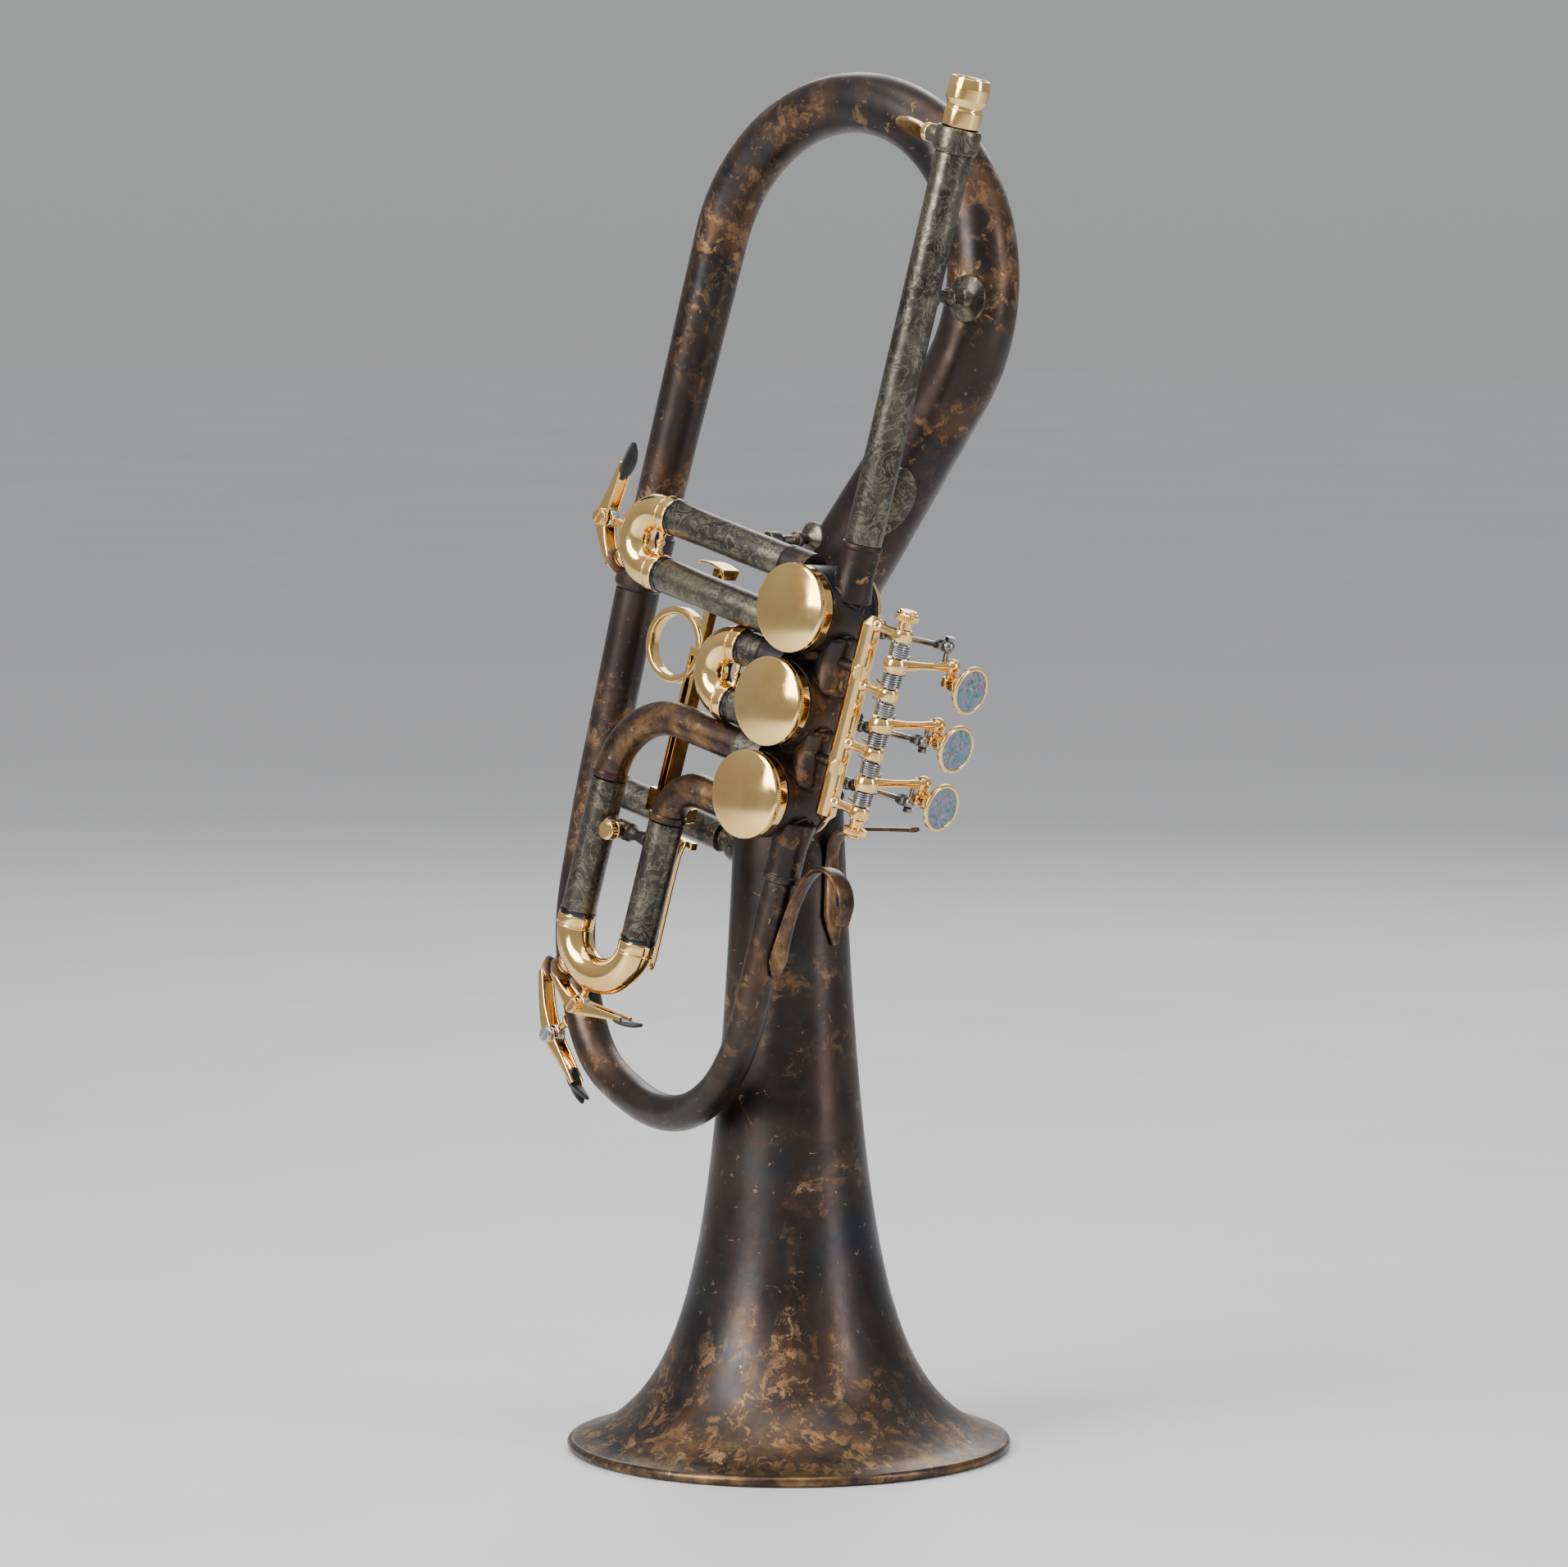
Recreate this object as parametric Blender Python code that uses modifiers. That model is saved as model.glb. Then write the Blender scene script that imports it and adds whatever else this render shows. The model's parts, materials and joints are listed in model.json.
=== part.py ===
"""Rotary-valve flugelhorn, standing on its bell: one object for each real piece.

World frame: metres, +Z up, origin at the middle of the bell rim, on the floor.
The valve row has a frame of its own, held by the empty "valve_frame": its local X (S) points to
the finger levers, its local Y (V) runs along the valve row towards the mouthpiece, and its local
Z (R) is the axis of the rotors, towards the valve caps.  Nearly all pieces are placed in it.
"""
import math

import bmesh
import bpy
from mathutils import Matrix, Vector

MM = 0.001
GAP = 0.3 * MM                      # between neighbouring pieces

# ---- driving dimensions ------------------------------------------------------------------
VALVE_ORIGIN = Vector((40.2, -38.0, 257.1)) * MM    # centre of the middle valve
LEAN = math.radians(14.4)           # valve row leans to the levers by this
TILT = math.radians(4.2)            # and away from the caps by this

BELL_RIM_R = 75.2 * MM
BELL_FLARE = 278.3                  # radius = BELL_FLARE / sqrt(height + BELL_FOOT), in mm
BELL_FOOT = 12.0
WALL = 0.6 * MM                     # sheet of the bell and bows
TUBE_WALL = 0.5 * MM                # drawn tubes

VALVE_PITCH = 31.8 * MM
VALVE_V = (VALVE_PITCH, 0.0, -VALVE_PITCH)
CASING_R = 14.2 * MM
CASING_BORE = 12.9 * MM
CASING_FRONT = 10.6 * MM
CASING_BACK = -11.0 * MM
ROTOR_R = 12.5 * MM
PORT = 9.8 * MM                     # tubes meet the casings this far off the rotor's axis
BORE_R = 4.9 * MM                   # sounding bore
KNUCKLE_R = 5.6 * MM
SLEEVE_R = 5.85 * MM                # outer slide tubes
LEG_R = 5.0 * MM                    # inner slide tubes
CROOK_R = 6.1 * MM

BOW_R = -37.0 * MM                  # the bow's plane lies behind the rotors by this
BOW_CENTRE = Vector((-56.5, 129.5)) * MM
BOW_RADIUS = 60.0 * MM
TAIL_LEAN = math.radians(21.2)      # bell tail against the valve row
TAIL_TANGENT = 32.0 * MM            # length of the tail's bend on each side of its corner
DESCENDING_S = BOW_CENTRE.x - BOW_RADIUS

LOWER_BOW_KNOTS = ((-114.9, -34.0, -37.0), (-112.9, -78.0, -37.0), (-106.6, -118.0, -36.2),
                   (-83.5, -149.5, -33.2), (-54.5, -157.6, -27.6), (-27.0, -153.2, -19.0),
                   (-4.4, -137.5, -9.0), (8.0, -114.5, -2.0), (10.0, -86.0, 0.0))

OUTLET_JOINT = -58.5 * MM           # lower bow meets the third valve's outlet here

FERRULE_END = -18.5 * MM            # short slides: the ferrule at the casing ends here
FERRULE_R = 5.9 * MM
FIRST_SLEEVE_END = -73.0 * MM
FIRST_CROOK_END = -94.6 * MM
SECOND_SLEEVE_END = -29.0 * MM
SECOND_CROOK_END = -47.4 * MM

THIRD_OUTER_S = -75.0 * MM          # third slide's two tubes run along V at these places
THIRD_INNER_S = -45.4 * MM
THIRD_OUTER_TOP = -50.0 * MM
THIRD_INNER_TOP = -56.0 * MM
THIRD_SLEEVE_END = -98.0 * MM
THIRD_CROOK_V = THIRD_SLEEVE_END - 2.0 * MM
THIRD_HALF = (THIRD_INNER_S - THIRD_OUTER_S) / 2
THIRD_MIDDLE = (THIRD_INNER_S + THIRD_OUTER_S) / 2
LYRE_V = -64.5 * MM                 # lyre screw's place
LYRE_S = THIRD_OUTER_S + 12.4 * MM

TRIGGER_S = -62.0 * MM              # trigger bar's place
TRIGGER_R = -15.0 * MM

LEADPIPE_TILT = math.radians(0.75)
LEADPIPE_LOW = 57.0 * MM
LEADPIPE_TOP = 187.0 * MM
LEADPIPE_R = 6.1 * MM
COLLAR_TOP = 195.4 * MM
RECEIVER_TOP = 211.7 * MM

AXLE_S = 37.8 * MM
AXLE_R = 2.5 * MM                   # the lever axle's place along the rotor axis
RAIL_S = 23.8 * MM
LEVER_V = (24.0 * MM, 4.0 * MM, -16.0 * MM)
POST_V = (34.0 * MM, 14.0 * MM, -6.0 * MM, -26.0 * MM)
LEVER_ARM = 28.0 * MM
LEVER_TIP_R = AXLE_R - LEVER_ARM
BALL_V = (5.8 * MM, -6.8 * MM, -7.4 * MM)           # ball joint against its lever
BALL_S = 34.0 * MM
BALL_R = 2.1 * MM
HUB_BORE = 1.95 * MM
STEM_V = -5.0 * MM                  # touch piece against its lever
PIN_R = 0.8 * MM
STOP_RADIUS = 8.4 * MM              # stop arm, rotor axis to stud
STOP_SIDE = (-1.0, -1.0, 1.0)       # which side of its rotor each ball is on
STOP_FRONT = CASING_BACK - GAP - 7.9 * MM           # stop arm, between the bearing and the rod
STOP_BACK = STOP_FRONT - 2.2 * MM

PINKY_AROUND = -2.0                 # little finger's hook, degrees round the bell from world +X

SIDES = 12                          # round a tube
WIDE = 16                           # round the bow and bell tail
TURNED = 24                         # round a turned piece
SMALL = 10                          # round a small turned piece

# ---- scene, materials ----------------------------------------------------------------------
FINISHES = {
    "patina": ((0.060, 0.038, 0.027), 0.42, 0.9),
    "bronze": ((0.210, 0.130, 0.065), 0.40, 0.9),
    "nickel": ((0.270, 0.265, 0.245), 0.38, 0.9),
    "gold": ((0.900, 0.620, 0.250), 0.15, 1.0),
    "steel": ((0.560, 0.560, 0.550), 0.25, 1.0),
}


def clear_scene():
    for obj in list(bpy.data.objects):
        bpy.data.objects.remove(obj, do_unlink=True)


def new_collection(name):
    collection = bpy.data.collections.new(name)
    bpy.context.scene.collection.children.link(collection)
    return collection


def make_finish(name):
    colour, roughness, metallic = FINISHES[name]
    material = bpy.data.materials.new(name)
    material.use_nodes = True
    shader = material.node_tree.nodes["Principled BSDF"]
    shader.inputs["Base Color"].default_value = (*colour, 1.0)
    shader.inputs["Roughness"].default_value = roughness
    shader.inputs["Metallic"].default_value = metallic
    return material


clear_scene()
PARTS = new_collection("flugelhorn")
CUTTERS = new_collection("cutters")
MATERIALS = {finish: make_finish(finish) for finish in FINISHES}

S_DIR = Vector((math.cos(LEAN), -math.sin(LEAN) * math.sin(TILT), -math.sin(LEAN) * math.cos(TILT)))
V_DIR = Vector((math.sin(LEAN), math.cos(LEAN) * math.sin(TILT), math.cos(LEAN) * math.cos(TILT)))
R_DIR = Vector((0.0, -math.cos(TILT), math.sin(TILT)))
FRAME = Matrix.Translation(VALVE_ORIGIN) @ Matrix((S_DIR, V_DIR, R_DIR)).transposed().to_4x4()

# the leadpipe turns about its foot, towards the bow
LEADPIPE_SWING = (Matrix.Translation((PORT, LEADPIPE_LOW, 0)) @ Matrix.Rotation(LEADPIPE_TILT, 4, "Z")
                  @ Matrix.Translation((0, -LEADPIPE_LOW, 0)))

VALVE_FRAME = bpy.data.objects.new("valve_frame", None)
VALVE_FRAME.matrix_world = FRAME
PARTS.objects.link(VALVE_FRAME)

# an object's Z axis turned to a direction of the valve frame
ALONG = {
    "S": Matrix.Rotation(math.radians(90), 4, "Y"),
    "V": Matrix.Rotation(math.radians(-90), 4, "X"),
    "R": Matrix.Identity(4),
}


# ---- shape helpers ---------------------------------------------------------------------------
def add_object(name, data, finish, at=(0, 0, 0), along="R", framed=True, extra=None):
    """Link an object at a place of the valve frame (or of the world) and give it its finish."""
    obj = bpy.data.objects.new(name, data)
    if finish is None:
        CUTTERS.objects.link(obj)
        obj.hide_render = True
        obj.display_type = "WIRE"
    else:
        PARTS.objects.link(obj)
        data.materials.append(MATERIALS[finish])
    if framed:
        obj.parent = VALVE_FRAME
    local = Matrix.Translation(Vector(at)) @ ALONG[along]
    if extra is not None:
        local = extra @ local
    obj.matrix_basis = local
    return obj


def aim(point, direction):
    """A placement at a point of the valve frame, with the Z axis along a direction."""
    turn = Vector(direction).to_track_quat("Z", "Y").to_matrix().to_4x4()
    return Matrix.Translation(Vector(point)) @ turn


def smooth(mesh, angle=35):
    mesh.shade_smooth()
    mesh.set_sharp_from_angle(angle=math.radians(angle))


def turned(name, profile, finish, at=(0, 0, 0), along="R", steps=TURNED, framed=True, hollow=False,
           extra=None):
    """Turn (radius, height) points, listed down the outer side, about the object's Z axis."""
    mesh = bpy.data.meshes.new(name)
    points = [(radius, 0.0, height) for radius, height in profile]
    edges = [(i, i + 1) for i in range(len(points) - 1)]
    if hollow:
        edges.append((len(points) - 1, 0))
    mesh.from_pydata(points, edges, [])
    obj = add_object(name, mesh, finish, at, along, framed, extra)
    screw = obj.modifiers.new("turn", "SCREW")
    screw.steps = steps
    screw.render_steps = steps
    screw.use_merge_vertices = True
    screw.merge_threshold = 0.00001
    screw.use_smooth_shade = True
    return obj


def ring_profile(outer, inner, top, bottom):
    return [(outer, top), (outer, bottom), (inner, bottom), (inner, top)]


def rod_profile(radius, top, bottom):
    return [(0.0, top), (radius, top), (radius, bottom), (0.0, bottom)]


def curve_data(name, points, radii, sides, caps):
    data = bpy.data.curves.new(name, "CURVE")
    data.dimensions = "3D"
    data.bevel_depth = 1.0
    data.bevel_resolution = sides // 2 - 2
    data.use_fill_caps = caps
    spline = data.splines.new("POLY")
    spline.points.add(len(points) - 1)
    for target, point, radius in zip(spline.points, points, radii):
        target.co = (*point, 1.0)
        target.radius = radius
    return data


def pipe(name, points, radii, finish, wall=TUBE_WALL, sides=SIDES, at=(0, 0, 0)):
    """A hollow tube with open ends along points; radii are its outer radii."""
    local = [Vector(point) - Vector(at) for point in points]
    obj = add_object(name, curve_data(name, local, radii, sides, caps=False), finish, at)
    shell = obj.modifiers.new("wall", "SOLIDIFY")
    shell.thickness = wall
    shell.offset = -1.0
    shell.use_even_offset = True
    return obj


def bar(name, points, radii, finish, sides=8, at=(0, 0, 0)):
    """A solid rod along points, made a mesh so that it can be cut and joined."""
    local = [Vector(point) - Vector(at) for point in points]
    rod = add_object(name + "_curve", curve_data(name, local, radii, sides, caps=True), None, at)
    obj = to_mesh(rod, name, finish)
    return obj


def to_mesh(source, name, finish):
    """Replace a curve or modified object by a plain mesh object at the same place."""
    bpy.context.view_layer.update()
    evaluated = source.evaluated_get(bpy.context.evaluated_depsgraph_get())
    mesh = bpy.data.meshes.new_from_object(evaluated)
    mesh.name = name
    edit = bmesh.new()
    edit.from_mesh(mesh)
    bmesh.ops.remove_doubles(edit, verts=edit.verts, dist=0.00001)
    bmesh.ops.recalc_face_normals(edit, faces=edit.faces)
    edit.to_mesh(mesh)
    edit.free()
    mesh.materials.clear()
    obj = bpy.data.objects.new(name, mesh)
    if finish is None:
        CUTTERS.objects.link(obj)
        obj.hide_render = True
        obj.display_type = "WIRE"
    else:
        PARTS.objects.link(obj)
        mesh.materials.append(MATERIALS[finish])
    obj.parent = source.parent
    obj.matrix_basis = source.matrix_basis.copy()
    bpy.data.objects.remove(source, do_unlink=True)
    smooth(mesh)
    return obj


def block(name, size, finish, at=(0, 0, 0), bevel=0.0, extra=None):
    """A box of the given size, with its edges bevelled."""
    mesh = bpy.data.meshes.new(name)
    edit = bmesh.new()
    bmesh.ops.create_cube(edit, size=1.0)
    bmesh.ops.scale(edit, vec=Vector(size), verts=edit.verts)
    if bevel:
        bmesh.ops.bevel(edit, geom=edit.edges[:], offset=bevel, segments=1, affect="EDGES")
    edit.to_mesh(mesh)
    edit.free()
    return add_object(name, mesh, finish, at, "R", True, extra)


def strip(name, path, side, widths, thickness, finish):
    """A bent strip of sheet along path, its width along side."""
    mesh = bpy.data.meshes.new(name)
    side = Vector(side).normalized()
    verts = []
    for point, width in zip(path, widths):
        verts += [Vector(point) - side * width / 2, Vector(point) + side * width / 2]
    faces = [(2 * i, 2 * i + 1, 2 * i + 3, 2 * i + 2) for i in range(len(path) - 1)]
    mesh.from_pydata(verts, [], faces)
    obj = add_object(name, mesh, finish)
    shell = obj.modifiers.new("thickness", "SOLIDIFY")
    shell.thickness = thickness
    shell.offset = 0.0
    shell.use_even_offset = True
    return obj


def combine(obj, others, operation):
    """Cut or join others into obj, in order, with exact Booleans."""
    for other in others:
        step = obj.modifiers.new(operation.lower(), "BOOLEAN")
        step.operation = operation
        step.solver = "EXACT"
        step.object = other
    return obj


def cut(obj, *others):
    return combine(obj, others, "DIFFERENCE")


def join(obj, *others):
    return combine(obj, others, "UNION")


# ---- paths -----------------------------------------------------------------------------------
def arc(centre, radius, start, end, count, depth):
    """Points of an arc in the plane R = depth; angles in degrees from S towards V."""
    points = []
    for i in range(count + 1):
        angle = math.radians(start + (end - start) * i / count)
        points.append(Vector((centre[0] + radius * math.cos(angle),
                              centre[1] + radius * math.sin(angle), depth)))
    return points


def bell_radius(height):
    return BELL_FLARE / math.sqrt(height / MM + BELL_FOOT) * MM


def tail_corner():
    """Where the bell's axis and the straight of the bow's tail meet, and both directions."""
    to_local = FRAME.inverted()
    foot = to_local @ Vector((0, 0, 0))
    up = (to_local.to_3x3() @ Vector((0, 0, 1))).normalized()
    tail = Vector((math.sin(TAIL_LEAN), math.cos(TAIL_LEAN), 0.0))
    touch = Vector((BOW_CENTRE.x + BOW_RADIUS * math.cos(TAIL_LEAN),
                    BOW_CENTRE.y - BOW_RADIUS * math.sin(TAIL_LEAN), BOW_R))
    # solve foot + a * up = touch - b * tail in the S, V plane
    gap = touch - foot
    det = up.x * tail.y - up.y * tail.x
    a = (gap.x * tail.y - gap.y * tail.x) / det
    corner = foot + a * up
    return corner, up, tail, a


CORNER, BELL_UP, TAIL_DIR, CORNER_HEIGHT = tail_corner()
BELL_TOP = CORNER_HEIGHT - TAIL_TANGENT
TAIL_TOP = CORNER + TAIL_DIR * TAIL_TANGENT
TAIL_TOP.z = BOW_R


# ---- bell, bows ------------------------------------------------------------------------------
def build_bell():
    """Bell flare in one sheet, its edge rolled over the rim wire and flattened underneath."""
    wire = 1.75 * MM
    flat = 0.8 * MM
    middle = BELL_RIM_R - wire
    top = 2 * wire
    steps = 12
    outer = []
    inner = []
    for i in range(steps + 1):
        share = i / steps
        height = BELL_TOP + (top + 0.5 * MM - BELL_TOP) * share ** 0.45
        outer.append((bell_radius(height), height))
        if i % 2 == 0:
            inner.append((bell_radius(height) - WALL * 1.3, height - WALL * 0.7 * share))
    bead = [(middle + 0.9 * MM, top - 0.1 * MM), (middle + wire, wire), (middle + flat, 0.0),
            (middle - flat, 0.0), (middle - wire, wire)]
    turned("bell_flare", outer + bead + inner[::-1], "patina", steps=TURNED + 8, framed=False,
           hollow=True)


def build_tail():
    start = CORNER - BELL_UP * (TAIL_TANGENT - GAP)
    straight = 1.0 * MM             # so that both end faces are square to their neighbours
    low = bell_radius(BELL_TOP)
    high = 14.7 * MM
    first = start + BELL_UP * straight
    last = TAIL_TOP - TAIL_DIR * straight
    points = [start]
    radii = [low]
    count = 6
    for i in range(count + 1):
        t = i / count
        points.append(first * (1 - t) ** 2 + CORNER * 2 * t * (1 - t) + last * t ** 2)
        radii.append(low + (high - low) * t)
    points.append(TAIL_TOP)
    radii.append(high)
    pipe("bell_tail", points, radii, "patina", WALL, WIDE)


def bow_radius(angle):
    start = math.degrees(-TAIL_LEAN)
    share = (180 - angle) / (180 - start)
    return (9.2 + 3.7 * share ** 1.5) * MM


def build_main_bow():
    start = TAIL_TOP + TAIL_DIR * GAP
    points = [start]
    radii = [14.7 * MM]
    first = math.degrees(-TAIL_LEAN)
    count = 12
    points += arc(BOW_CENTRE, BOW_RADIUS, first, 180, count, BOW_R)
    radii += [bow_radius(first + (180 - first) * i / count) for i in range(count + 1)]
    for v, radius in ((25.0, 7.7), (24.7, 7.4), (8.0, 7.2)):
        points.append(Vector((DESCENDING_S, v * MM, BOW_R)))
        radii.append(radius * MM)
    pipe("main_bow", points, radii, "patina", WALL, WIDE)


def spline(knots, steps):
    """Points of a smooth curve through the knots (Catmull-Rom)."""
    ends = [knots[0] * 2 - knots[1]] + knots + [knots[-1] * 2 - knots[-2]]
    points = []
    for i in range(1, len(ends) - 2):
        p0, p1, p2, p3 = ends[i - 1:i + 3]
        for j in range(steps):
            t = j / steps
            points.append(0.5 * (2 * p1 + (p2 - p0) * t + (2 * p0 - 5 * p1 + 4 * p2 - p3) * t ** 2
                                 + (3 * p1 - p0 - 3 * p2 + p3) * t ** 3))
    points.append(knots[-1])
    return points


def lower_bow_path():
    """From the ferrule under the main bow, round the bottom and up to the third valve."""
    socket_top = 24.4 * MM
    socket_low = 5.2 * MM
    left = Vector((DESCENDING_S, 0, BOW_R))
    points = [left + Vector((0, socket_top, 0)), left + Vector((0, socket_low, 0)),
              left + Vector((0, socket_low - 0.3 * MM, 0))]
    radii = [8.6 * MM, 8.5 * MM, 7.6 * MM]
    bend = spline([Vector(knot) * MM for knot in LOWER_BOW_KNOTS], 2)
    points += bend
    radii += [(7.4 - 1.9 * i / (len(bend) - 1)) * MM for i in range(len(bend))]
    points.append(Vector((PORT, OUTLET_JOINT - GAP, 0)))
    radii.append(5.4 * MM)
    return points, radii


def build_lower_bow():
    points, radii = lower_bow_path()
    tube = pipe("lower_bow_tube", points, radii, "patina")
    return to_mesh(tube, "lower_bow", "patina")


# ---- valves ----------------------------------------------------------------------------------
def casing_cutter(name, v):
    """A plug with a casing's outside and a gap, to trim the tubes that meet it."""
    return turned(name, rod_profile(CASING_R + GAP, 20 * MM, -20 * MM), None, at=(0, v, 0))


def build_casing(number, v):
    mesh_name = "casing_%d" % number
    casing = turned(mesh_name, ring_profile(CASING_R, CASING_BORE, CASING_FRONT, CASING_BACK),
                    "patina", at=(0, v, 0), hollow=True)
    line = turned(mesh_name + "_line", rod_profile(BORE_R, 20 * MM, -20 * MM), None,
                  at=(PORT, v, 0), along="V", steps=SIDES)
    cutters = [line]
    for side, label in ((1, "upper"), (-1, "lower")):
        cutters.append(turned("%s_%s" % (mesh_name, label), rod_profile(BORE_R, 0.0, -20 * MM), None,
                              at=(0, v + side * PORT, 0), along="S", steps=SIDES))
    return cut(casing, *cutters)


def build_cap(number, v):
    """Screwed front cap: a knurled edge, a shallow dome and a plug into the casing."""
    rim = 14.6 * MM
    back = CASING_FRONT + GAP
    front = 16.6 * MM
    dome = 2.0 * MM
    count = 3
    profile = []
    for i in range(count + 1):
        angle = math.pi / 2 * i / count
        profile.append(((rim - 0.5 * MM) * math.sin(angle), front + dome * math.cos(angle)))
    profile += [(rim, front - 0.4 * MM), (rim, back), (11.0 * MM, back), (11.0 * MM, 8.6 * MM),
                (0.0, 8.6 * MM)]
    turned("valve_cap_%d" % number, profile, "gold", at=(0, v, 0))


def build_bearing_plate(number, v):
    """Rear bearing: closes the casing and carries the rotor's rear journal."""
    hole = 3.3 * MM
    back = CASING_BACK - GAP
    profile = [(12.6 * MM, CASING_BACK + 2.0 * MM), (12.6 * MM, back), (CASING_R - 0.4 * MM, back),
               (CASING_R - 0.4 * MM, back - 1.6 * MM), (11.0 * MM, back - 2.6 * MM),
               (5.6 * MM, back - 3.0 * MM), (5.6 * MM, back - 7.4 * MM), (hole, back - 7.4 * MM),
               (hole, CASING_BACK + 2.0 * MM)]
    plate = turned("bearing_plate_%d" % number, profile, "gold", at=(0, v, 0), hollow=True, steps=16)
    side = STOP_SIDE[number - 1]
    posts = []
    for direction in (1, -1):
        angle = math.radians(16)
        posts.append(turned("stop_post_%d_%d" % (number, direction),
                            rod_profile(1.5 * MM, back - 1.0 * MM, STOP_BACK), None,
                            at=(direction * STOP_RADIUS * math.cos(angle),
                                v + side * STOP_RADIUS * math.sin(angle), 0), steps=8))
    return join(plate, *posts)


def build_rotor(number, v):
    """Rotor with its two passages and the shaft that carries the stop arm."""
    front = 8.2 * MM
    back = CASING_BACK + 2.6 * MM
    profile = [(0.0, front), (ROTOR_R, front), (ROTOR_R, back), (3.0 * MM, back),
               (3.0 * MM, STOP_BACK), (0.0, STOP_BACK)]
    rotor = turned("rotor_%d" % number, profile, "bronze", at=(0, v, 0), steps=20)
    passages = []
    for side in (1, -1):
        passages.append(turned("passage_%d_%d" % (number, side), rod_profile(BORE_R, 20 * MM, -20 * MM),
                               None, at=(side * PORT, v, 0), along="V", steps=SMALL))
    return cut(rotor, *passages)


def build_stop_arm(number, v):
    """Arm on the rotor's rear end, with the stud that the linkage rod turns it by."""
    side = STOP_SIDE[number - 1]
    reach = STOP_RADIUS / math.sqrt(2)
    origin = Vector((0, v, 0))
    arm = turned("stop_arm_%d" % number, ring_profile(4.6 * MM, 3.3 * MM, STOP_FRONT, STOP_BACK),
                 "gold", at=origin, steps=16, hollow=True)
    beam = block("stop_beam_%d" % number, (STOP_RADIUS - 2.5 * MM, 3.0 * MM, 1.9 * MM), None,
                 at=(3.9 * MM + (STOP_RADIUS - 2.5 * MM) / 2, 0, (STOP_FRONT + STOP_BACK) / 2),
                 extra=Matrix.Translation(origin) @ Matrix.Rotation(side * math.radians(45), 4, "Z"))
    stud = turned("stop_stud_%d" % number,
                  rod_profile(1.5 * MM, STOP_FRONT - 0.2 * MM, STOP_BACK - 0.8 * MM), None,
                  at=(reach, v + side * reach, 0), steps=8)
    return join(arm, beam, stud)


def build_knuckle(name, top, bottom, trims, radius=KNUCKLE_R):
    """A tube of the main line trimmed to the casings it meets."""
    tube = turned(name, ring_profile(radius, BORE_R, top, bottom), "patina",
                  at=(PORT, 0, 0), along="V", steps=SIDES, hollow=True)
    return cut(tube, *trims)


def build_valves():
    point = 3.0 * MM                     # the knuckles' points end this far from a valve's middle
    plugs = []
    for number, v in enumerate(VALVE_V, start=1):
        build_casing(number, v)
        build_cap(number, v)
        build_bearing_plate(number, v)
        build_rotor(number, v)
        build_stop_arm(number, v)
        plugs.append(casing_cutter("casing_plug_%d" % number, v))
    build_knuckle("knuckle_1_2", VALVE_V[0] - point, VALVE_V[1] + point, plugs[:2])
    build_knuckle("knuckle_2_3", VALVE_V[1] - point, VALVE_V[2] + point, plugs[1:])
    build_knuckle("inlet_knuckle", LEADPIPE_LOW - GAP, VALVE_V[0] + point, plugs[:1], 6.3 * MM)
    build_knuckle("outlet_knuckle", VALVE_V[2] - point, OUTLET_JOINT, plugs[2:], 6.0 * MM)


# ---- leadpipe --------------------------------------------------------------------------------
def build_leadpipe():
    turned("leadpipe_sleeve", ring_profile(LEADPIPE_R, 5.5 * MM, LEADPIPE_TOP, LEADPIPE_LOW), "nickel",
           along="V", steps=SIDES + 4, hollow=True, extra=LEADPIPE_SWING)
    collar = turned("clamp_collar", ring_profile(7.5 * MM, 6.4 * MM, COLLAR_TOP, LEADPIPE_TOP + GAP),
                    "nickel", along="V", steps=SIDES + 4, hollow=True, extra=LEADPIPE_SWING)
    middle = (COLLAR_TOP + LEADPIPE_TOP) / 2
    boss = turned("collar_boss", ring_profile(3.2 * MM, 1.6 * MM, -6.9 * MM, -11.0 * MM), None,
                  at=(0, middle, 0), along="S", steps=SMALL, hollow=True, extra=LEADPIPE_SWING)
    hole = turned("collar_hole", rod_profile(1.6 * MM, 0.0, -12 * MM), None,
                  at=(0, middle, 0), along="S", steps=SMALL, extra=LEADPIPE_SWING)
    join(collar, boss)
    cut(collar, hole)


def build_receiver():
    """Mouthpiece receiver: its tapered socket above the collar and its tube inside the leadpipe."""
    groove = 202.4 * MM
    shank_top = COLLAR_TOP + GAP
    profile = [(6.35 * MM, RECEIVER_TOP), (6.7 * MM, RECEIVER_TOP - 3.5 * MM),
               (6.6 * MM, groove + 1.2 * MM), (6.05 * MM, groove), (6.25 * MM, groove - 1.2 * MM),
               (6.15 * MM, shank_top), (5.2 * MM, shank_top), (5.2 * MM, 140 * MM), (4.6 * MM, 140 * MM),
               (4.6 * MM, 190 * MM), (5.2 * MM, RECEIVER_TOP - 0.6 * MM), (5.6 * MM, RECEIVER_TOP)]
    turned("mouthpiece_receiver", profile, "gold", along="V", steps=24, hollow=True, extra=LEADPIPE_SWING)


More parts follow.
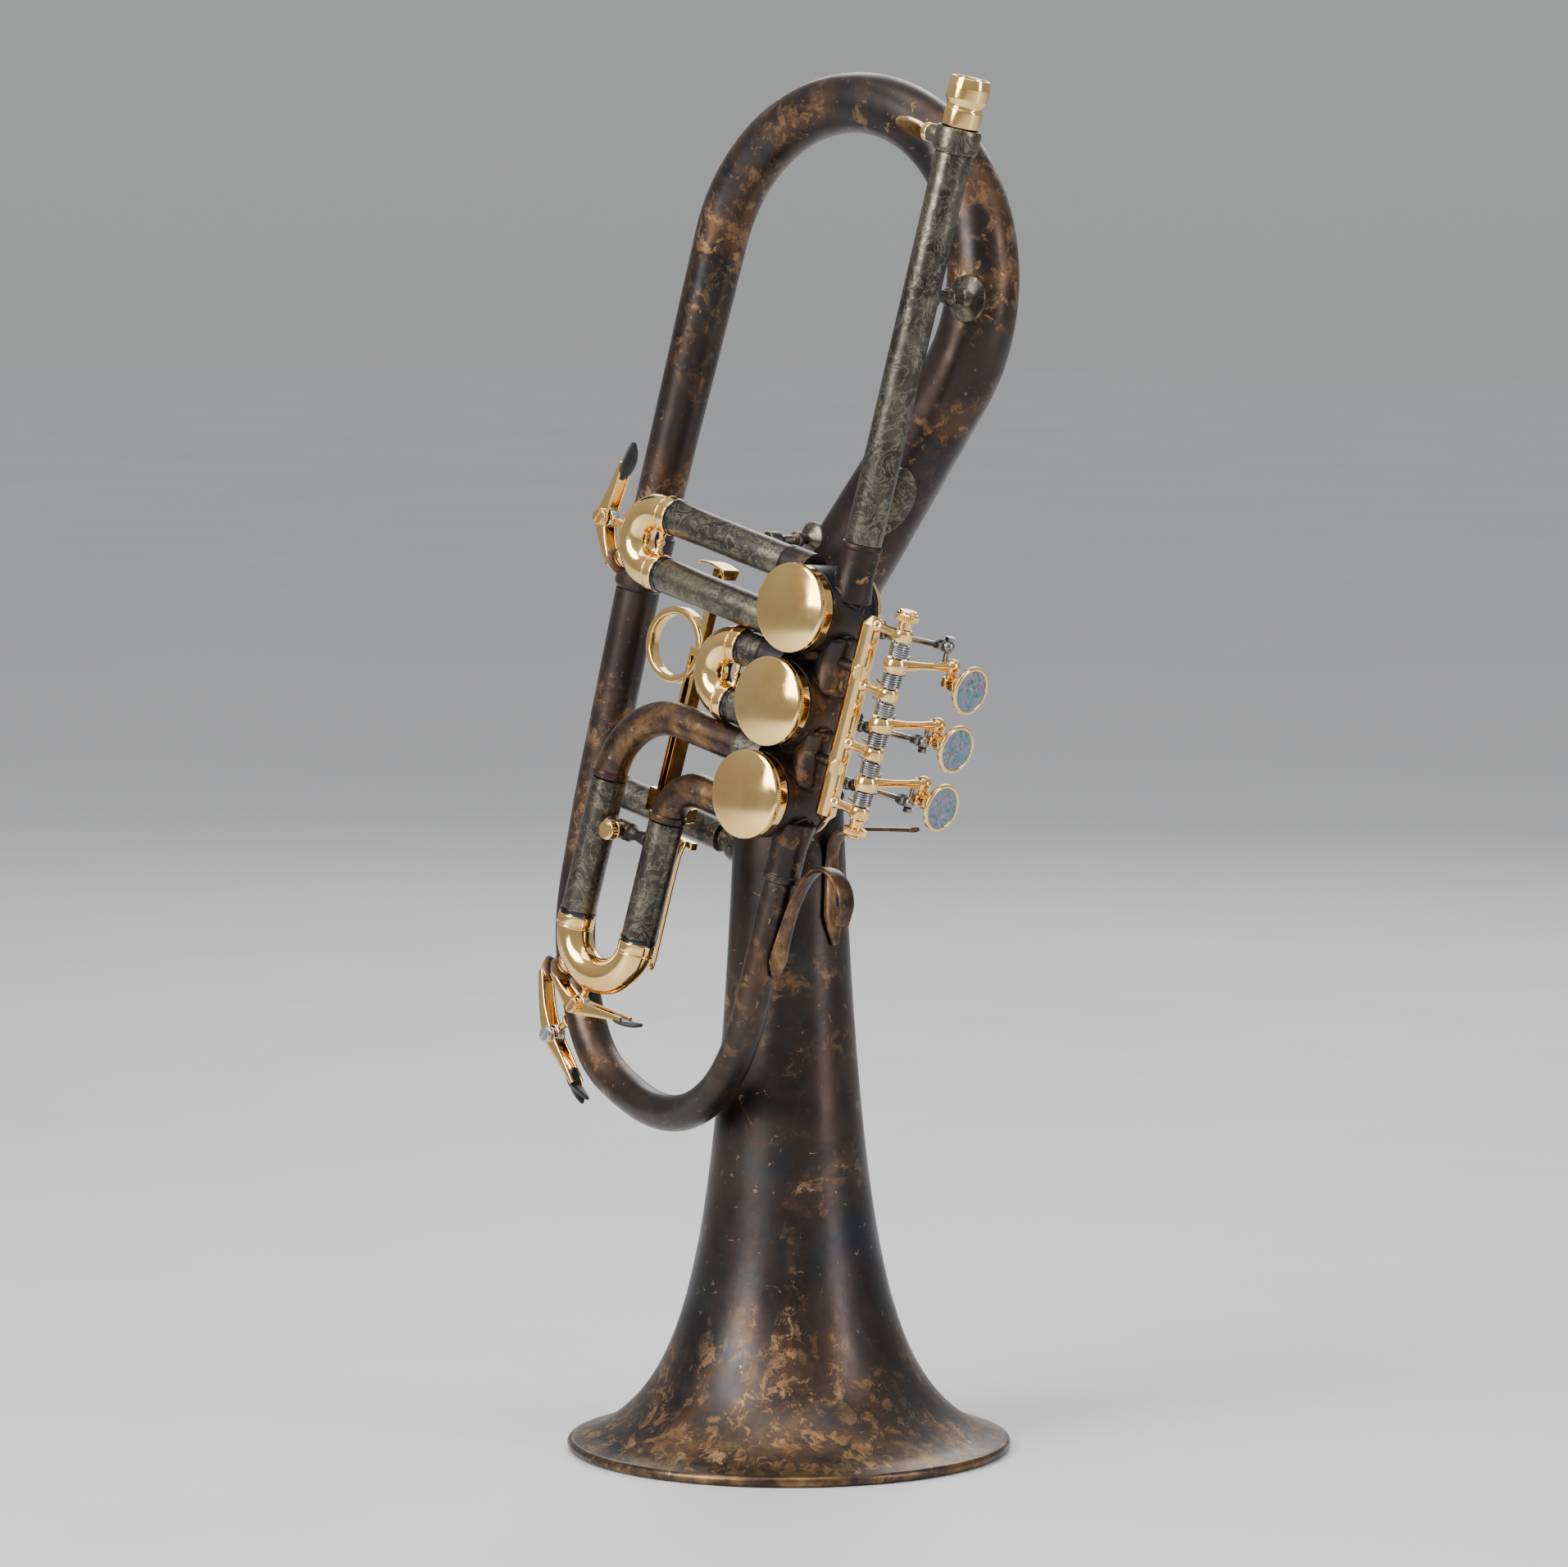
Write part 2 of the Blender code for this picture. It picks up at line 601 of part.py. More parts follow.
def build_thumb_screw():
    middle = (COLLAR_TOP + LEADPIPE_TOP) / 2
    shaft = turned("thumb_screw", rod_profile(1.3 * MM, -5.6 * MM, -12.6 * MM), "gold",
                   at=(0, middle, 0), along="S", steps=SMALL, extra=LEADPIPE_SWING)
    shoulder = turned("thumb_collar", rod_profile(3.0 * MM, -11.4 * MM, -13.6 * MM), None,
                      at=(0, middle, 0), along="S", steps=SMALL, extra=LEADPIPE_SWING)
    wing = turned("thumb_wing", [(0, 0.8 * MM), (6.5 * MM, 0.8 * MM), (6.8 * MM, 0.0),
                                 (6.5 * MM, -0.8 * MM), (0, -0.8 * MM)], None, steps=20,
                  extra=LEADPIPE_SWING @ Matrix.Translation((-19.4 * MM, middle, 0))
                  @ Matrix.Rotation(math.radians(50), 4, "X") @ Matrix.Diagonal((1.12, 0.62, 1, 1)))
    join(shaft, shoulder, wing)


# ---- slides ----------------------------------------------------------------------------------
def slide_tube(name, ends, bend, insides):
    """A crook in one tube: a thin leg inside each sleeve, and the full bend outside them."""
    step = 0.1 * MM
    points = []
    radii = []
    for end, inside, order in ((ends[0], insides[0], 1), (ends[1], insides[1], -1)):
        away = (end - inside).normalized()
        leg = [(inside, LEG_R), (end - away * step, LEG_R), (end + away * step, CROOK_R)][::order]
        if order < 0:
            points += bend
            radii += [CROOK_R] * len(bend)
        points += [point for point, _ in leg]
        radii += [radius for _, radius in leg]
    return to_mesh(pipe(name + "_tube", points, radii, "gold"), name, "gold")


def build_short_slide(prefix, v, sleeve_end, crook_end, leg_length):
    """A slide that points away from the levers: two outer tubes and the crook between them."""
    start = 10.0 * MM
    plug = bpy.data.objects["casing_plug_%d" % (VALVE_V.index(v) + 1)]
    for side, label in ((1, "upper"), (-1, "lower")):
        profile = [(FERRULE_R, -start), (FERRULE_R, FERRULE_END), (SLEEVE_R, FERRULE_END - 0.3 * MM),
                   (SLEEVE_R, sleeve_end), (SLEEVE_R - TUBE_WALL, sleeve_end), (SLEEVE_R - TUBE_WALL, -start)]
        sleeve = turned("%s_sleeve_%s" % (prefix, label), profile, "nickel",
                        at=(0, v + side * PORT, 0), along="S", steps=SIDES, hollow=True)
        cut(sleeve, plug)
    centre = crook_end + CROOK_R + PORT
    lip = sleeve_end - GAP
    inside = sleeve_end + leg_length
    ends = [Vector((lip, v + side * PORT, 0)) for side in (1, -1)]
    insides = [Vector((inside, v + side * PORT, 0)) for side in (1, -1)]
    crook = slide_tube(prefix + "_slide_crook", ends, arc((centre, v), PORT, 90, 270, 8, 0.0), insides)
    spool = turned(prefix + "_spool", [(0, 4.0 * MM), (1.6 * MM, 4.0 * MM), (1.0 * MM, 1.6 * MM),
                                       (1.7 * MM, 0), (1.0 * MM, -1.6 * MM), (1.6 * MM, -4.0 * MM),
                                       (0, -4.0 * MM)], None,
                   at=(centre + 1.5 * MM, v, 0), along="V", steps=8)
    return join(crook, spool)


def build_third_elbow(label, side, column, top):
    """Elbow from the third casing round to a tube of its slide."""
    level = VALVE_V[2] + side * PORT
    bend = level - top - 1.3 * MM
    points = [Vector((-10 * MM, level, 0))]
    if side > 0:
        points.append(Vector((-30 * MM, level, 0)))
    points += arc((column + bend, level - bend), bend, 90, 180, 5, 0.0)
    points.append(Vector((column, top + GAP, 0)))
    tube = pipe(label + "_elbow_tube", points, [5.8 * MM] * len(points), "bronze")
    elbow = to_mesh(tube, "third_elbow_" + label, "bronze")
    cut(elbow, bpy.data.objects["casing_plug_3"])


def build_third_sleeve(label, column, top):
    radius = SLEEVE_R + 0.1 * MM
    profile = ring_profile(radius, radius - TUBE_WALL, top - GAP, THIRD_SLEEVE_END)
    return turned("third_sleeve_" + label, profile, "nickel", at=(column, 0, 0), along="V",
                  steps=SIDES, hollow=True)


def build_lyre_holder(sleeve):
    """Post across the third slide's tubes, with the threaded seat that a lyre is clamped in."""
    gap_to_inner = THIRD_INNER_S - SLEEVE_R - 0.1 * MM - GAP - THIRD_OUTER_S
    post = turned("lyre_post", [(0, gap_to_inner), (2.2 * MM, gap_to_inner), (2.2 * MM, 15.6 * MM),
                                (3.3 * MM, 15.0 * MM), (3.3 * MM, 5.6 * MM), (0, 5.6 * MM)], None,
                  at=(THIRD_OUTER_S, LYRE_V, 0), along="S", steps=SMALL)
    seat = turned("lyre_seat", rod_profile(2.4 * MM, 5.2 * MM, -3.0 * MM), None,
                  at=(LYRE_S, LYRE_V, 0), steps=SMALL)
    thread = turned("lyre_thread", rod_profile(1.3 * MM, 6.0 * MM, 0), None,
                    at=(LYRE_S, LYRE_V, 0), steps=SMALL)
    join(sleeve, post, seat)
    cut(sleeve, thread)


def build_third_slide():
    for label, side, column, top in (("outer", 1, THIRD_OUTER_S, THIRD_OUTER_TOP),
                                     ("inner", -1, THIRD_INNER_S, THIRD_INNER_TOP)):
        build_third_elbow(label, side, column, top)
        sleeve = build_third_sleeve(label, column, top)
        if side > 0:
            build_lyre_holder(sleeve)
    lip = THIRD_SLEEVE_END - GAP
    inside = -66.0 * MM
    ends = [Vector((THIRD_OUTER_S, lip, 0)), Vector((THIRD_INNER_S, lip, 0))]
    insides = [Vector((THIRD_OUTER_S, inside, 0)), Vector((THIRD_INNER_S, inside, 0))]
    bend = arc((THIRD_MIDDLE, THIRD_CROOK_V), THIRD_HALF, 180, 360, 10, 0.0)
    return slide_tube("third_slide_crook", ends, bend, insides)


def build_lyre_screw():
    head = 3.3 * MM
    profile = [(0, 10.4 * MM), (head - 0.6 * MM, 10.2 * MM), (head, 9.4 * MM), (head, 6.4 * MM),
               (2.2 * MM, 5.5 * MM), (1.0 * MM, 5.5 * MM), (1.0 * MM, 0.6 * MM), (0, 0.6 * MM)]
    turned("lyre_screw", profile, "gold", at=(LYRE_S, LYRE_V, 0), steps=SMALL)


# ---- water keys ------------------------------------------------------------------------------
def build_water_key(name, tube, nose, outward, pivot, tip, wall_point):
    """A water key: nose and pivot post on the tube; the key itself rocks about the R axis.

    nose is the point on the tube's surface, outward its direction; wall_point is where the pivot
    post stands on the tube.
    """
    outward = Vector(outward).normalized()
    nipple = turned(name + "_nipple", rod_profile(3.0 * MM, 2.6 * MM, -1.2 * MM), None, steps=SMALL,
                    extra=aim(nose, outward))
    toward = (pivot - wall_point).normalized()
    post_length = (pivot - wall_point).length
    post = turned(name + "_post", rod_profile(1.25 * MM, post_length - 1.2 * MM, -1.0 * MM), None, steps=8,
                  extra=aim(wall_point, toward))
    knob = turned(name + "_knob", rod_profile(2.3 * MM, 1.2 * MM, -1.2 * MM), None, at=pivot, steps=SMALL)
    hole = turned(name + "_hole", rod_profile(1.35 * MM, 4 * MM, -4 * MM), None, at=pivot, steps=SMALL)
    drain = turned(name + "_drain", rod_profile(1.2 * MM, 6 * MM, -6 * MM), None, steps=8,
                   extra=aim(nose, outward))
    join(tube, nipple, post, knob)
    cut(tube, hole, drain)

    seat = nose + outward * 2.9 * MM
    key = turned(name, [(0, 3.4 * MM), (2.6 * MM, 3.4 * MM), (3.5 * MM, 2.6 * MM), (3.5 * MM, 0), (0, 0)],
                 "gold", steps=SMALL, extra=aim(seat, outward))
    lever = channel(name + "_lever", [seat + outward * 2.8 * MM, pivot, tip],
                    [1.3 * MM, 2.5 * MM, 0.8 * MM], 6.0 * MM)
    slot = turned(name + "_slot", rod_profile(3.7 * MM, 1.7 * MM, -1.7 * MM), None, at=pivot, steps=SMALL)
    screw = turned(name + "_screw", [(0, 4.9 * MM), (2.8 * MM, 4.7 * MM), (2.8 * MM, 2.7 * MM),
                                     (1.05 * MM, 2.7 * MM), (1.05 * MM, -2.7 * MM), (0, -2.7 * MM)],
                   None, at=pivot, steps=8)
    along = (tip - pivot).normalized()
    turn = Matrix.Rotation(math.atan2(along.y, along.x), 4, "Z")
    leaf = turned(name + "_leaf", [(0, 1.0 * MM), (0.7, 1.0 * MM), (1.0, 0.0), (0.7, -1.0 * MM),
                                   (0, -1.0 * MM)], None, steps=SMALL,
                  extra=Matrix.Translation(tip) @ turn @ Matrix.Rotation(math.radians(90), 4, "X")
                  @ Matrix.Diagonal((7.0 * MM, 4.7 * MM, 1, 1)))
    join(key, lever)
    cut(key, slot)
    join(key, screw, leaf)
    return key


def channel(name, path, halves, width):
    """A flat lever cut from plate: path in the S, V plane, half heights at its points."""
    left = []
    right = []
    for i, (point, half) in enumerate(zip(path, halves)):
        before = path[max(i - 1, 0)]
        after = path[min(i + 1, len(path) - 1)]
        ahead = (after - before).normalized()
        across = Vector((-ahead.y, ahead.x, 0)) * half
        left.append(point + across)
        right.append(point - across)
    outline = left + right[::-1]
    count = len(outline)
    half_width = Vector((0, 0, width / 2))
    verts = [p - half_width for p in outline] + [p + half_width for p in outline]
    faces = [tuple(range(count))[::-1], tuple(range(count, 2 * count))]
    faces += [(i, (i + 1) % count, count + (i + 1) % count, count + i) for i in range(count)]
    mesh = bpy.data.meshes.new(name)
    mesh.from_pydata(verts, [], faces)
    edit = bmesh.new()
    edit.from_mesh(mesh)
    bmesh.ops.recalc_face_normals(edit, faces=edit.faces)
    edit.to_mesh(mesh)
    edit.free()
    return add_object(name, mesh, None)


def build_main_key(bow):
    """Water key at the foot of the descending tube."""
    outward = Vector((math.cos(math.radians(211)), math.sin(math.radians(211)), 0.3)).normalized()
    nose = Vector((-103.2, -125.6, -36.0)) * MM + outward * 6.4 * MM
    wall_point = Vector((-96.6, -145.0, -31.5)) * MM
    pivot = Vector((-101.4, -151.0, -31.5)) * MM
    tip = Vector((-86.0, -163.5, -31.5)) * MM
    build_water_key("water_key_main", bow, nose, outward, pivot, tip, wall_point)


def build_slides():
    first = build_short_slide("first", VALVE_V[0], FIRST_SLEEVE_END, FIRST_CROOK_END, 40 * MM)
    build_short_slide("second", VALVE_V[1], SECOND_SLEEVE_END, SECOND_CROOK_END, 9 * MM)
    third = build_third_slide()
    build_lyre_screw()

    centre = Vector((FIRST_CROOK_END + CROOK_R + PORT, VALVE_V[0], 0))
    outward = Vector((math.cos(math.radians(216)), math.sin(math.radians(216)), 0))
    pivot = Vector((-103.2, 33.1, 0)) * MM
    build_water_key("water_key_first", first, centre + outward * (PORT + CROOK_R), outward, pivot,
                    Vector((-100.6, 53.0, 0)) * MM, Vector((-94.0, 32.4, 0)) * MM)
    centre = Vector((THIRD_MIDDLE, THIRD_CROOK_V, 0))
    outward = Vector((math.cos(math.radians(229)), math.sin(math.radians(229)), 0))
    pivot = Vector((-64.4, -127.0, 0)) * MM
    build_water_key("water_key_third", third, centre + outward * (THIRD_HALF + CROOK_R), outward, pivot,
                    Vector((-42.5, -125.0, 0)) * MM, Vector((-63.0, -120.2, 0)) * MM)


# ---- trigger ---------------------------------------------------------------------------------
def build_trigger():
    """Third slide trigger: thumb plate and finger ring on a bar that pulls the crook."""
    depth = TRIGGER_R
    bar_s = TRIGGER_S
    carriage = block("trigger_carriage", (4.6 * MM, 64 * MM, 5.2 * MM), "gold",
                     at=(bar_s, -32.0 * MM, depth), bevel=0.4 * MM)
    upper = block("trigger_upper", (3.0 * MM, 29 * MM, 3.6 * MM), None,
                  at=(bar_s + 0.3 * MM, 13.5 * MM, depth), bevel=0.3 * MM)
    plate = block("trigger_plate", (12.0 * MM, 1.6 * MM, 8.6 * MM), None,
                  at=(-63.3 * MM, 28.2 * MM, depth), bevel=0.5 * MM)
    lip = block("trigger_lip", (1.5 * MM, 4.0 * MM, 8.0 * MM), None,
                at=(-58.0 * MM, 26.8 * MM, depth), bevel=0.5 * MM)
    ring = turned("trigger_ring", [(12.95 * MM, 1.2 * MM), (12.95 * MM, -1.2 * MM), (11.6 * MM, -2.4 * MM),
                                   (10.25 * MM, -1.2 * MM), (10.25 * MM, 1.2 * MM), (11.6 * MM, 2.4 * MM)],
                  None, at=(-72.8 * MM, -2.2 * MM, depth), steps=24, hollow=True)
    foot = block("trigger_foot", (21.0 * MM, 2.6 * MM, 3.8 * MM), None,
                 at=(-54.6 * MM, -64.6 * MM, depth), bevel=0.4 * MM)
    back = -9.4 * MM
    rod = bar("pull_rod", [Vector((-46.0 * MM, -64.6 * MM, depth)), Vector((THIRD_INNER_S, -67.5 * MM, back)),
                           Vector((THIRD_INNER_S, -104.5 * MM, back)),
                           Vector((THIRD_INNER_S, -106.0 * MM, back + 1.4 * MM))],
              [1.4 * MM] * 4, None)
    join(carriage, upper, plate, lip, ring, foot, rod)


def build_trigger_guide():
    """Square guide of the trigger bar, on an arm from the inner elbow."""
    level = -54.0 * MM
    guide = block("trigger_guide", (8.0 * MM, 8.0 * MM, 8.6 * MM), "gold",
                  at=(TRIGGER_S, level, TRIGGER_R), bevel=0.5 * MM)
    arm = block("guide_arm", (14.0 * MM, 5.0 * MM, 3.2 * MM), None,
                at=(-52.2 * MM, level, -12.6 * MM), bevel=0.4 * MM)
    saddle = block("guide_saddle", (5.0 * MM, 5.0 * MM, 6.2 * MM), None,
                   at=(-46.6 * MM, level, -9.6 * MM), bevel=0.4 * MM)
    slot = block("guide_slot", (5.3 * MM, 20 * MM, 5.9 * MM), None, at=(TRIGGER_S, level, TRIGGER_R))
    line = [Vector((THIRD_INNER_S, -40 * MM, 0)), Vector((THIRD_INNER_S, -70 * MM, 0))]
    tube = pipe("saddle_plug", line, [6.25 * MM] * 2, None, wall=3 * MM)
    elbow = to_mesh(tube, "saddle_plug_mesh", None)
    join(guide, arm, saddle)
    cut(guide, slot, elbow)


# ---- braces and hooks ------------------------------------------------------------------------
def build_bell_brace():
    """Tube between the lower bow and the bell, on a turned foot at each end."""
    foot_left = DESCENDING_S + 4.0 * MM
    foot_right = -40.0 * MM
    brace = turned("bell_brace", [(0, foot_right), (6.5 * MM, foot_right), (6.5 * MM, -46.4 * MM),
                                  (3.4 * MM, -47.4 * MM), (3.4 * MM, -52.0 * MM), (5.4 * MM, -52.4 * MM),
                                  (5.4 * MM, -99.0 * MM), (3.4 * MM, -99.4 * MM), (3.4 * MM, -106.0 * MM),
                                  (5.2 * MM, -107.4 * MM), (5.2 * MM, foot_left), (0, foot_left)], "nickel",
                   at=(0, -63.3 * MM, BOW_R - 1.0 * MM), along="S", steps=SIDES + 4)
    upper, lower = (Vector(knot) * MM for knot in LOWER_BOW_KNOTS[:2])
    tube = turned("lower_bow_plug", rod_profile(7.4 * MM + GAP, 30 * MM, -30 * MM), None, steps=SIDES + 4,
                  extra=aim(lower + (upper - lower) * 0.33, upper - lower))
    cut(brace, tube, bell_plug("brace_bell_plug"))


def build_bow_stay():
    """Turned post between the leadpipe and the main bow."""
    stay = turned("bow_stay", [(0, -2.0 * MM), (4.4 * MM, -2.0 * MM), (4.4 * MM, -7.2 * MM),
                               (1.9 * MM, -8.4 * MM), (1.9 * MM, -13.0 * MM), (3.1 * MM, -15.0 * MM),
                               (1.9 * MM, -17.0 * MM), (1.9 * MM, -21.0 * MM), (7.8 * MM, -23.4 * MM),
                               (7.8 * MM, -28.0 * MM), (0, -28.0 * MM)], "nickel",
                  at=(7.6 * MM, 140.2 * MM, 0), steps=SIDES + 4)
    leadpipe = turned("leadpipe_plug", rod_profile(LEADPIPE_R + GAP, 160 * MM, 110 * MM), None,
                      along="V", steps=SIDES + 4, extra=LEADPIPE_SWING)
    bow = turned("bow_plug", rod_profile(13.0 * MM + GAP, 200 * MM, 80 * MM), None,
                 at=(BOW_CENTRE.x + BOW_RADIUS, 0, BOW_R), along="V", steps=SIDES + 4)
    cut(stay, leadpipe, bow)


def build_slide_stay():
    """Turned post between the first slide's upper sleeve and the bell tail."""
    sleeve_v = 41.6 * MM
    foot_at = Vector((-33.0, 47.0, -27.0)) * MM
    toward = (Vector((-36.0 * MM, sleeve_v + 3.0 * MM, -3.0 * MM)) - foot_at).normalized()
    post = turned("slide_stay", [(0, 24.0 * MM), (3.0 * MM, 24.0 * MM), (3.0 * MM, 17.5 * MM),
                                 (1.6 * MM, 16.0 * MM), (1.6 * MM, 11.4 * MM), (2.8 * MM, 10.2 * MM),
                                 (2.8 * MM, 8.4 * MM), (1.6 * MM, 7.4 * MM), (1.6 * MM, 5.0 * MM),
                                 (5.8 * MM, 3.2 * MM), (5.8 * MM, -4.0 * MM), (0, -4.0 * MM)], "nickel",
                  steps=SIDES, extra=aim(foot_at, toward))
    tail = turned("tail_plug", rod_profile(14.7 * MM + GAP, 60 * MM, -60 * MM), None, steps=SIDES + 4,
                  extra=aim(TAIL_TOP - TAIL_DIR * 10 * MM, TAIL_DIR))
    sleeve = turned("sleeve_plug", rod_profile(SLEEVE_R + GAP, -10 * MM, -70 * MM), None,
                    at=(0, sleeve_v, 0), along="S", steps=SIDES)
    cut(post, tail, sleeve)


def bell_plug(name):
    """The bell's outside and a gap, to trim what is fastened to it."""
    profile = []
    count = 6
    for i in range(count + 1):
        height = BELL_TOP - (BELL_TOP - 140 * MM) * i / count
        profile.append((bell_radius(height) + GAP, height))
    profile = [(0, BELL_TOP)] + profile + [(0, 140 * MM)]
    return turned(name, profile, None, steps=TURNED + 8, framed=False)


def build_hooks():
    path = [(17.3, -90.0), (16.9, -84.0), (16.9, -77.0), (17.7, -66.0), (20.2, -56.0), (24.3, -50.1),
            (30.5, -48.8), (36.2, -52.0), (39.2, -57.3), (39.9, -64.0)]
    points = [Vector((s, v, 0)) * MM for s, v in path]
    widths = [2.0 * MM, 8.5 * MM, 7.0 * MM, 6.5 * MM] + [8.5 * MM] * 5 + [7.0 * MM]
    strip("finger_hook", points, (0, 0, 1), widths, 1.4 * MM, "bronze")

    to_local = FRAME.inverted()
    around = math.radians(PINKY_AROUND)
    out = Vector((math.cos(around), math.sin(around), 0))
    side = out.cross(Vector((0, 0, 1)))
    places = [(1.2, 172.5), (1.2, 182.5), (1.3, 202.0), (3.4, 208.5), (8.0, 211.8), (24.0, 213.0),
              (39.0, 213.6)]
    points = []
    for off, height in places:
        radius = bell_radius(min(height, 202.0) * MM) + off * MM
        points.append(to_local @ (out * radius + Vector((0, 0, height * MM))))
    widths = [2.5 * MM, 9.0 * MM, 5.5 * MM, 7.0 * MM, 7.5 * MM, 8.0 * MM, 5.0 * MM]
    strip("pinky_hook", points, to_local.to_3x3() @ side, widths, 1.4 * MM, "bronze")


# ---- levers ----------------------------------------------------------------------------------
def build_rail():
    """Lever rail: the bar on its two pillars, with four posts whose rings carry the axle."""
    length = 70.0 * MM
    middle = 1.5 * MM
    rail = block("lever_rail", (4.6 * MM, length, 5.6 * MM), "gold", at=(RAIL_S, middle, AXLE_R),
                 bevel=1.1 * MM)
    joined = []
    for i, v in enumerate(POST_V):
        post = rod_profile(1.65 * MM, AXLE_S - 2.65 * MM, RAIL_S + 0.4 * MM)
        joined.append(turned("post_%d" % i, post, None, at=(0, v, AXLE_R), along="S", steps=8))
        joined.append(turned("eye_%d" % i, rod_profile(3.3 * MM, 2.1 * MM, -2.1 * MM), None,
                             at=(AXLE_S, v, AXLE_R), along="V", steps=SMALL))
    for i, v in enumerate((VALVE_PITCH / 2 + 2 * MM, -VALVE_PITCH / 2 + 1.5 * MM)):
        pillar = rod_profile(1.8 * MM, RAIL_S + 3.6 * MM, PORT + KNUCKLE_R + GAP)
        joined.append(turned("pillar_%d" % i, pillar, None, at=(0, v, AXLE_R - 0.5 * MM),
                             along="S", steps=SMALL))
    join(rail, *joined)
    bore = turned("axle_bore", rod_profile(1.93 * MM, 55 * MM, -50 * MM), None,
                  at=(AXLE_S, 0, AXLE_R), along="V", steps=SMALL)
    cut(rail, bore)


def build_axle():
    """Axle rod with its knurled end screws."""
    top = POST_V[0] + 2.1 * MM + GAP
    low = POST_V[-1] - 2.1 * MM - GAP
    knob = 3.9 * MM
    profile = [(0, top + 6.0 * MM), (knob - 0.4 * MM, top + 6.0 * MM), (knob, top + 5.6 * MM),
               (knob, top + 3.2 * MM), (2.2 * MM, top + 2.6 * MM), (2.4 * MM, top), (1.6 * MM, top),
               (1.6 * MM, low), (2.4 * MM, low), (2.2 * MM, low - 2.6 * MM), (knob, low - 3.2 * MM),
               (knob, low - 5.6 * MM), (knob - 0.4 * MM, low - 6.0 * MM), (0, low - 6.0 * MM)]
    turned("lever_axle", profile, "gold", at=(AXLE_S, 0, AXLE_R), along="V", steps=SMALL)


def build_lever(number, v):
    """Finger lever: hub on the axle, arm, end block, screw stem and the round touch piece."""
    origin = Vector((AXLE_S, v, AXLE_R))
    tip = origin + Vector((0, 0, -LEVER_ARM))
    ball = Vector((BALL_S - AXLE_S, BALL_V[number - 1], 0))
    away = 1 if ball.y > 0 else -1
    lever = turned("lever_%d" % number, ring_profile(3.4 * MM, HUB_BORE, 2.4 * MM, -2.4 * MM), "gold",
                   at=origin, along="V", steps=SMALL, hollow=True)
    arm = turned("arm_%d" % number, [(0, -2.6 * MM), (1.9 * MM, -2.6 * MM), (1.35 * MM, -9 * MM),
                                     (1.5 * MM, -LEVER_ARM), (0, -LEVER_ARM)], None, at=origin, steps=8)
    end = block("end_%d" % number, (5.6 * MM, 4.6 * MM, 3.6 * MM), None,
                at=tip + Vector((-2.2 * MM, 0, 0)), bevel=0.6 * MM)
    lug = block("lug_%d" % number, (2.4 * MM, 7.0 * MM, 3.3 * MM), None,
                at=tip + Vector((0.2 * MM, STEM_V, 0)), bevel=0.5 * MM)
    stem = turned("stem_%d" % number,
                  [(0, 8.4 * MM), (1.3 * MM, 8.4 * MM), (1.3 * MM, 4.2 * MM), (2.6 * MM, 4.2 * MM),
                   (2.6 * MM, 1.0 * MM), (0, 1.0 * MM)], None,
                  at=tip + Vector((0, STEM_V, 0)), along="S", steps=SMALL)
    rim = 8.1 * MM
    touch = turned("touch_%d" % number,
                   [(0, 10.4 * MM), (rim - 0.3 * MM, 10.4 * MM), (rim, 10.0 * MM),
                    (rim - 2.4 * MM, 7.6 * MM), (0, 7.6 * MM)], None,
                   at=tip + Vector((0, STEM_V, 0)), along="S", steps=16)
    reach = abs(ball.y) + BALL_R + 0.6 * MM
    pin = turned("ball_pin_%d" % number, rod_profile(PIN_R, reach / 2, -reach / 2), None,
                 at=tip + Vector((ball.x, away * reach / 2, 0)), along="V", steps=8)
    join(lever, arm, end, lug, stem, touch, pin)
    bore = turned("hub_bore_%d" % number, rod_profile(HUB_BORE, 3 * MM, -3 * MM), None,
                  at=origin, along="V", steps=SMALL)
    cut(lever, bore)


def build_rod(number, v):
    """Linkage rod: an eye on the lever's pin and a ball end behind the stop arm's stud."""
    side = STOP_SIDE[number - 1]
    reach = STOP_RADIUS / math.sqrt(2)
    ball = Vector((BALL_S, v + BALL_V[number - 1], LEVER_TIP_R))
    end = Vector((reach, VALVE_V[number - 1] + side * reach, LEVER_TIP_R))
    along = (end - ball).normalized()
    rod = bar("linkage_rod_%d" % number, [ball + along * 1.2 * MM, end - along * 1.0 * MM],
              [0.95 * MM, 0.95 * MM], "steel", at=ball)
    balls = []
    for i, place in enumerate((ball, end)):
        mesh = bpy.data.meshes.new("rod_ball")
        edit = bmesh.new()
        bmesh.ops.create_uvsphere(edit, u_segments=8, v_segments=6, radius=BALL_R)
        edit.to_mesh(mesh)
        edit.free()
        balls.append(add_object("rod_ball_%d_%d" % (number, i), mesh, None, at=place))
    join(rod, *balls)
    eye = turned("rod_eye_%d" % number, rod_profile(PIN_R + 0.3 * MM, 3 * MM, -3 * MM), None,
                 at=ball, along="V", steps=SMALL)
    cut(rod, eye)


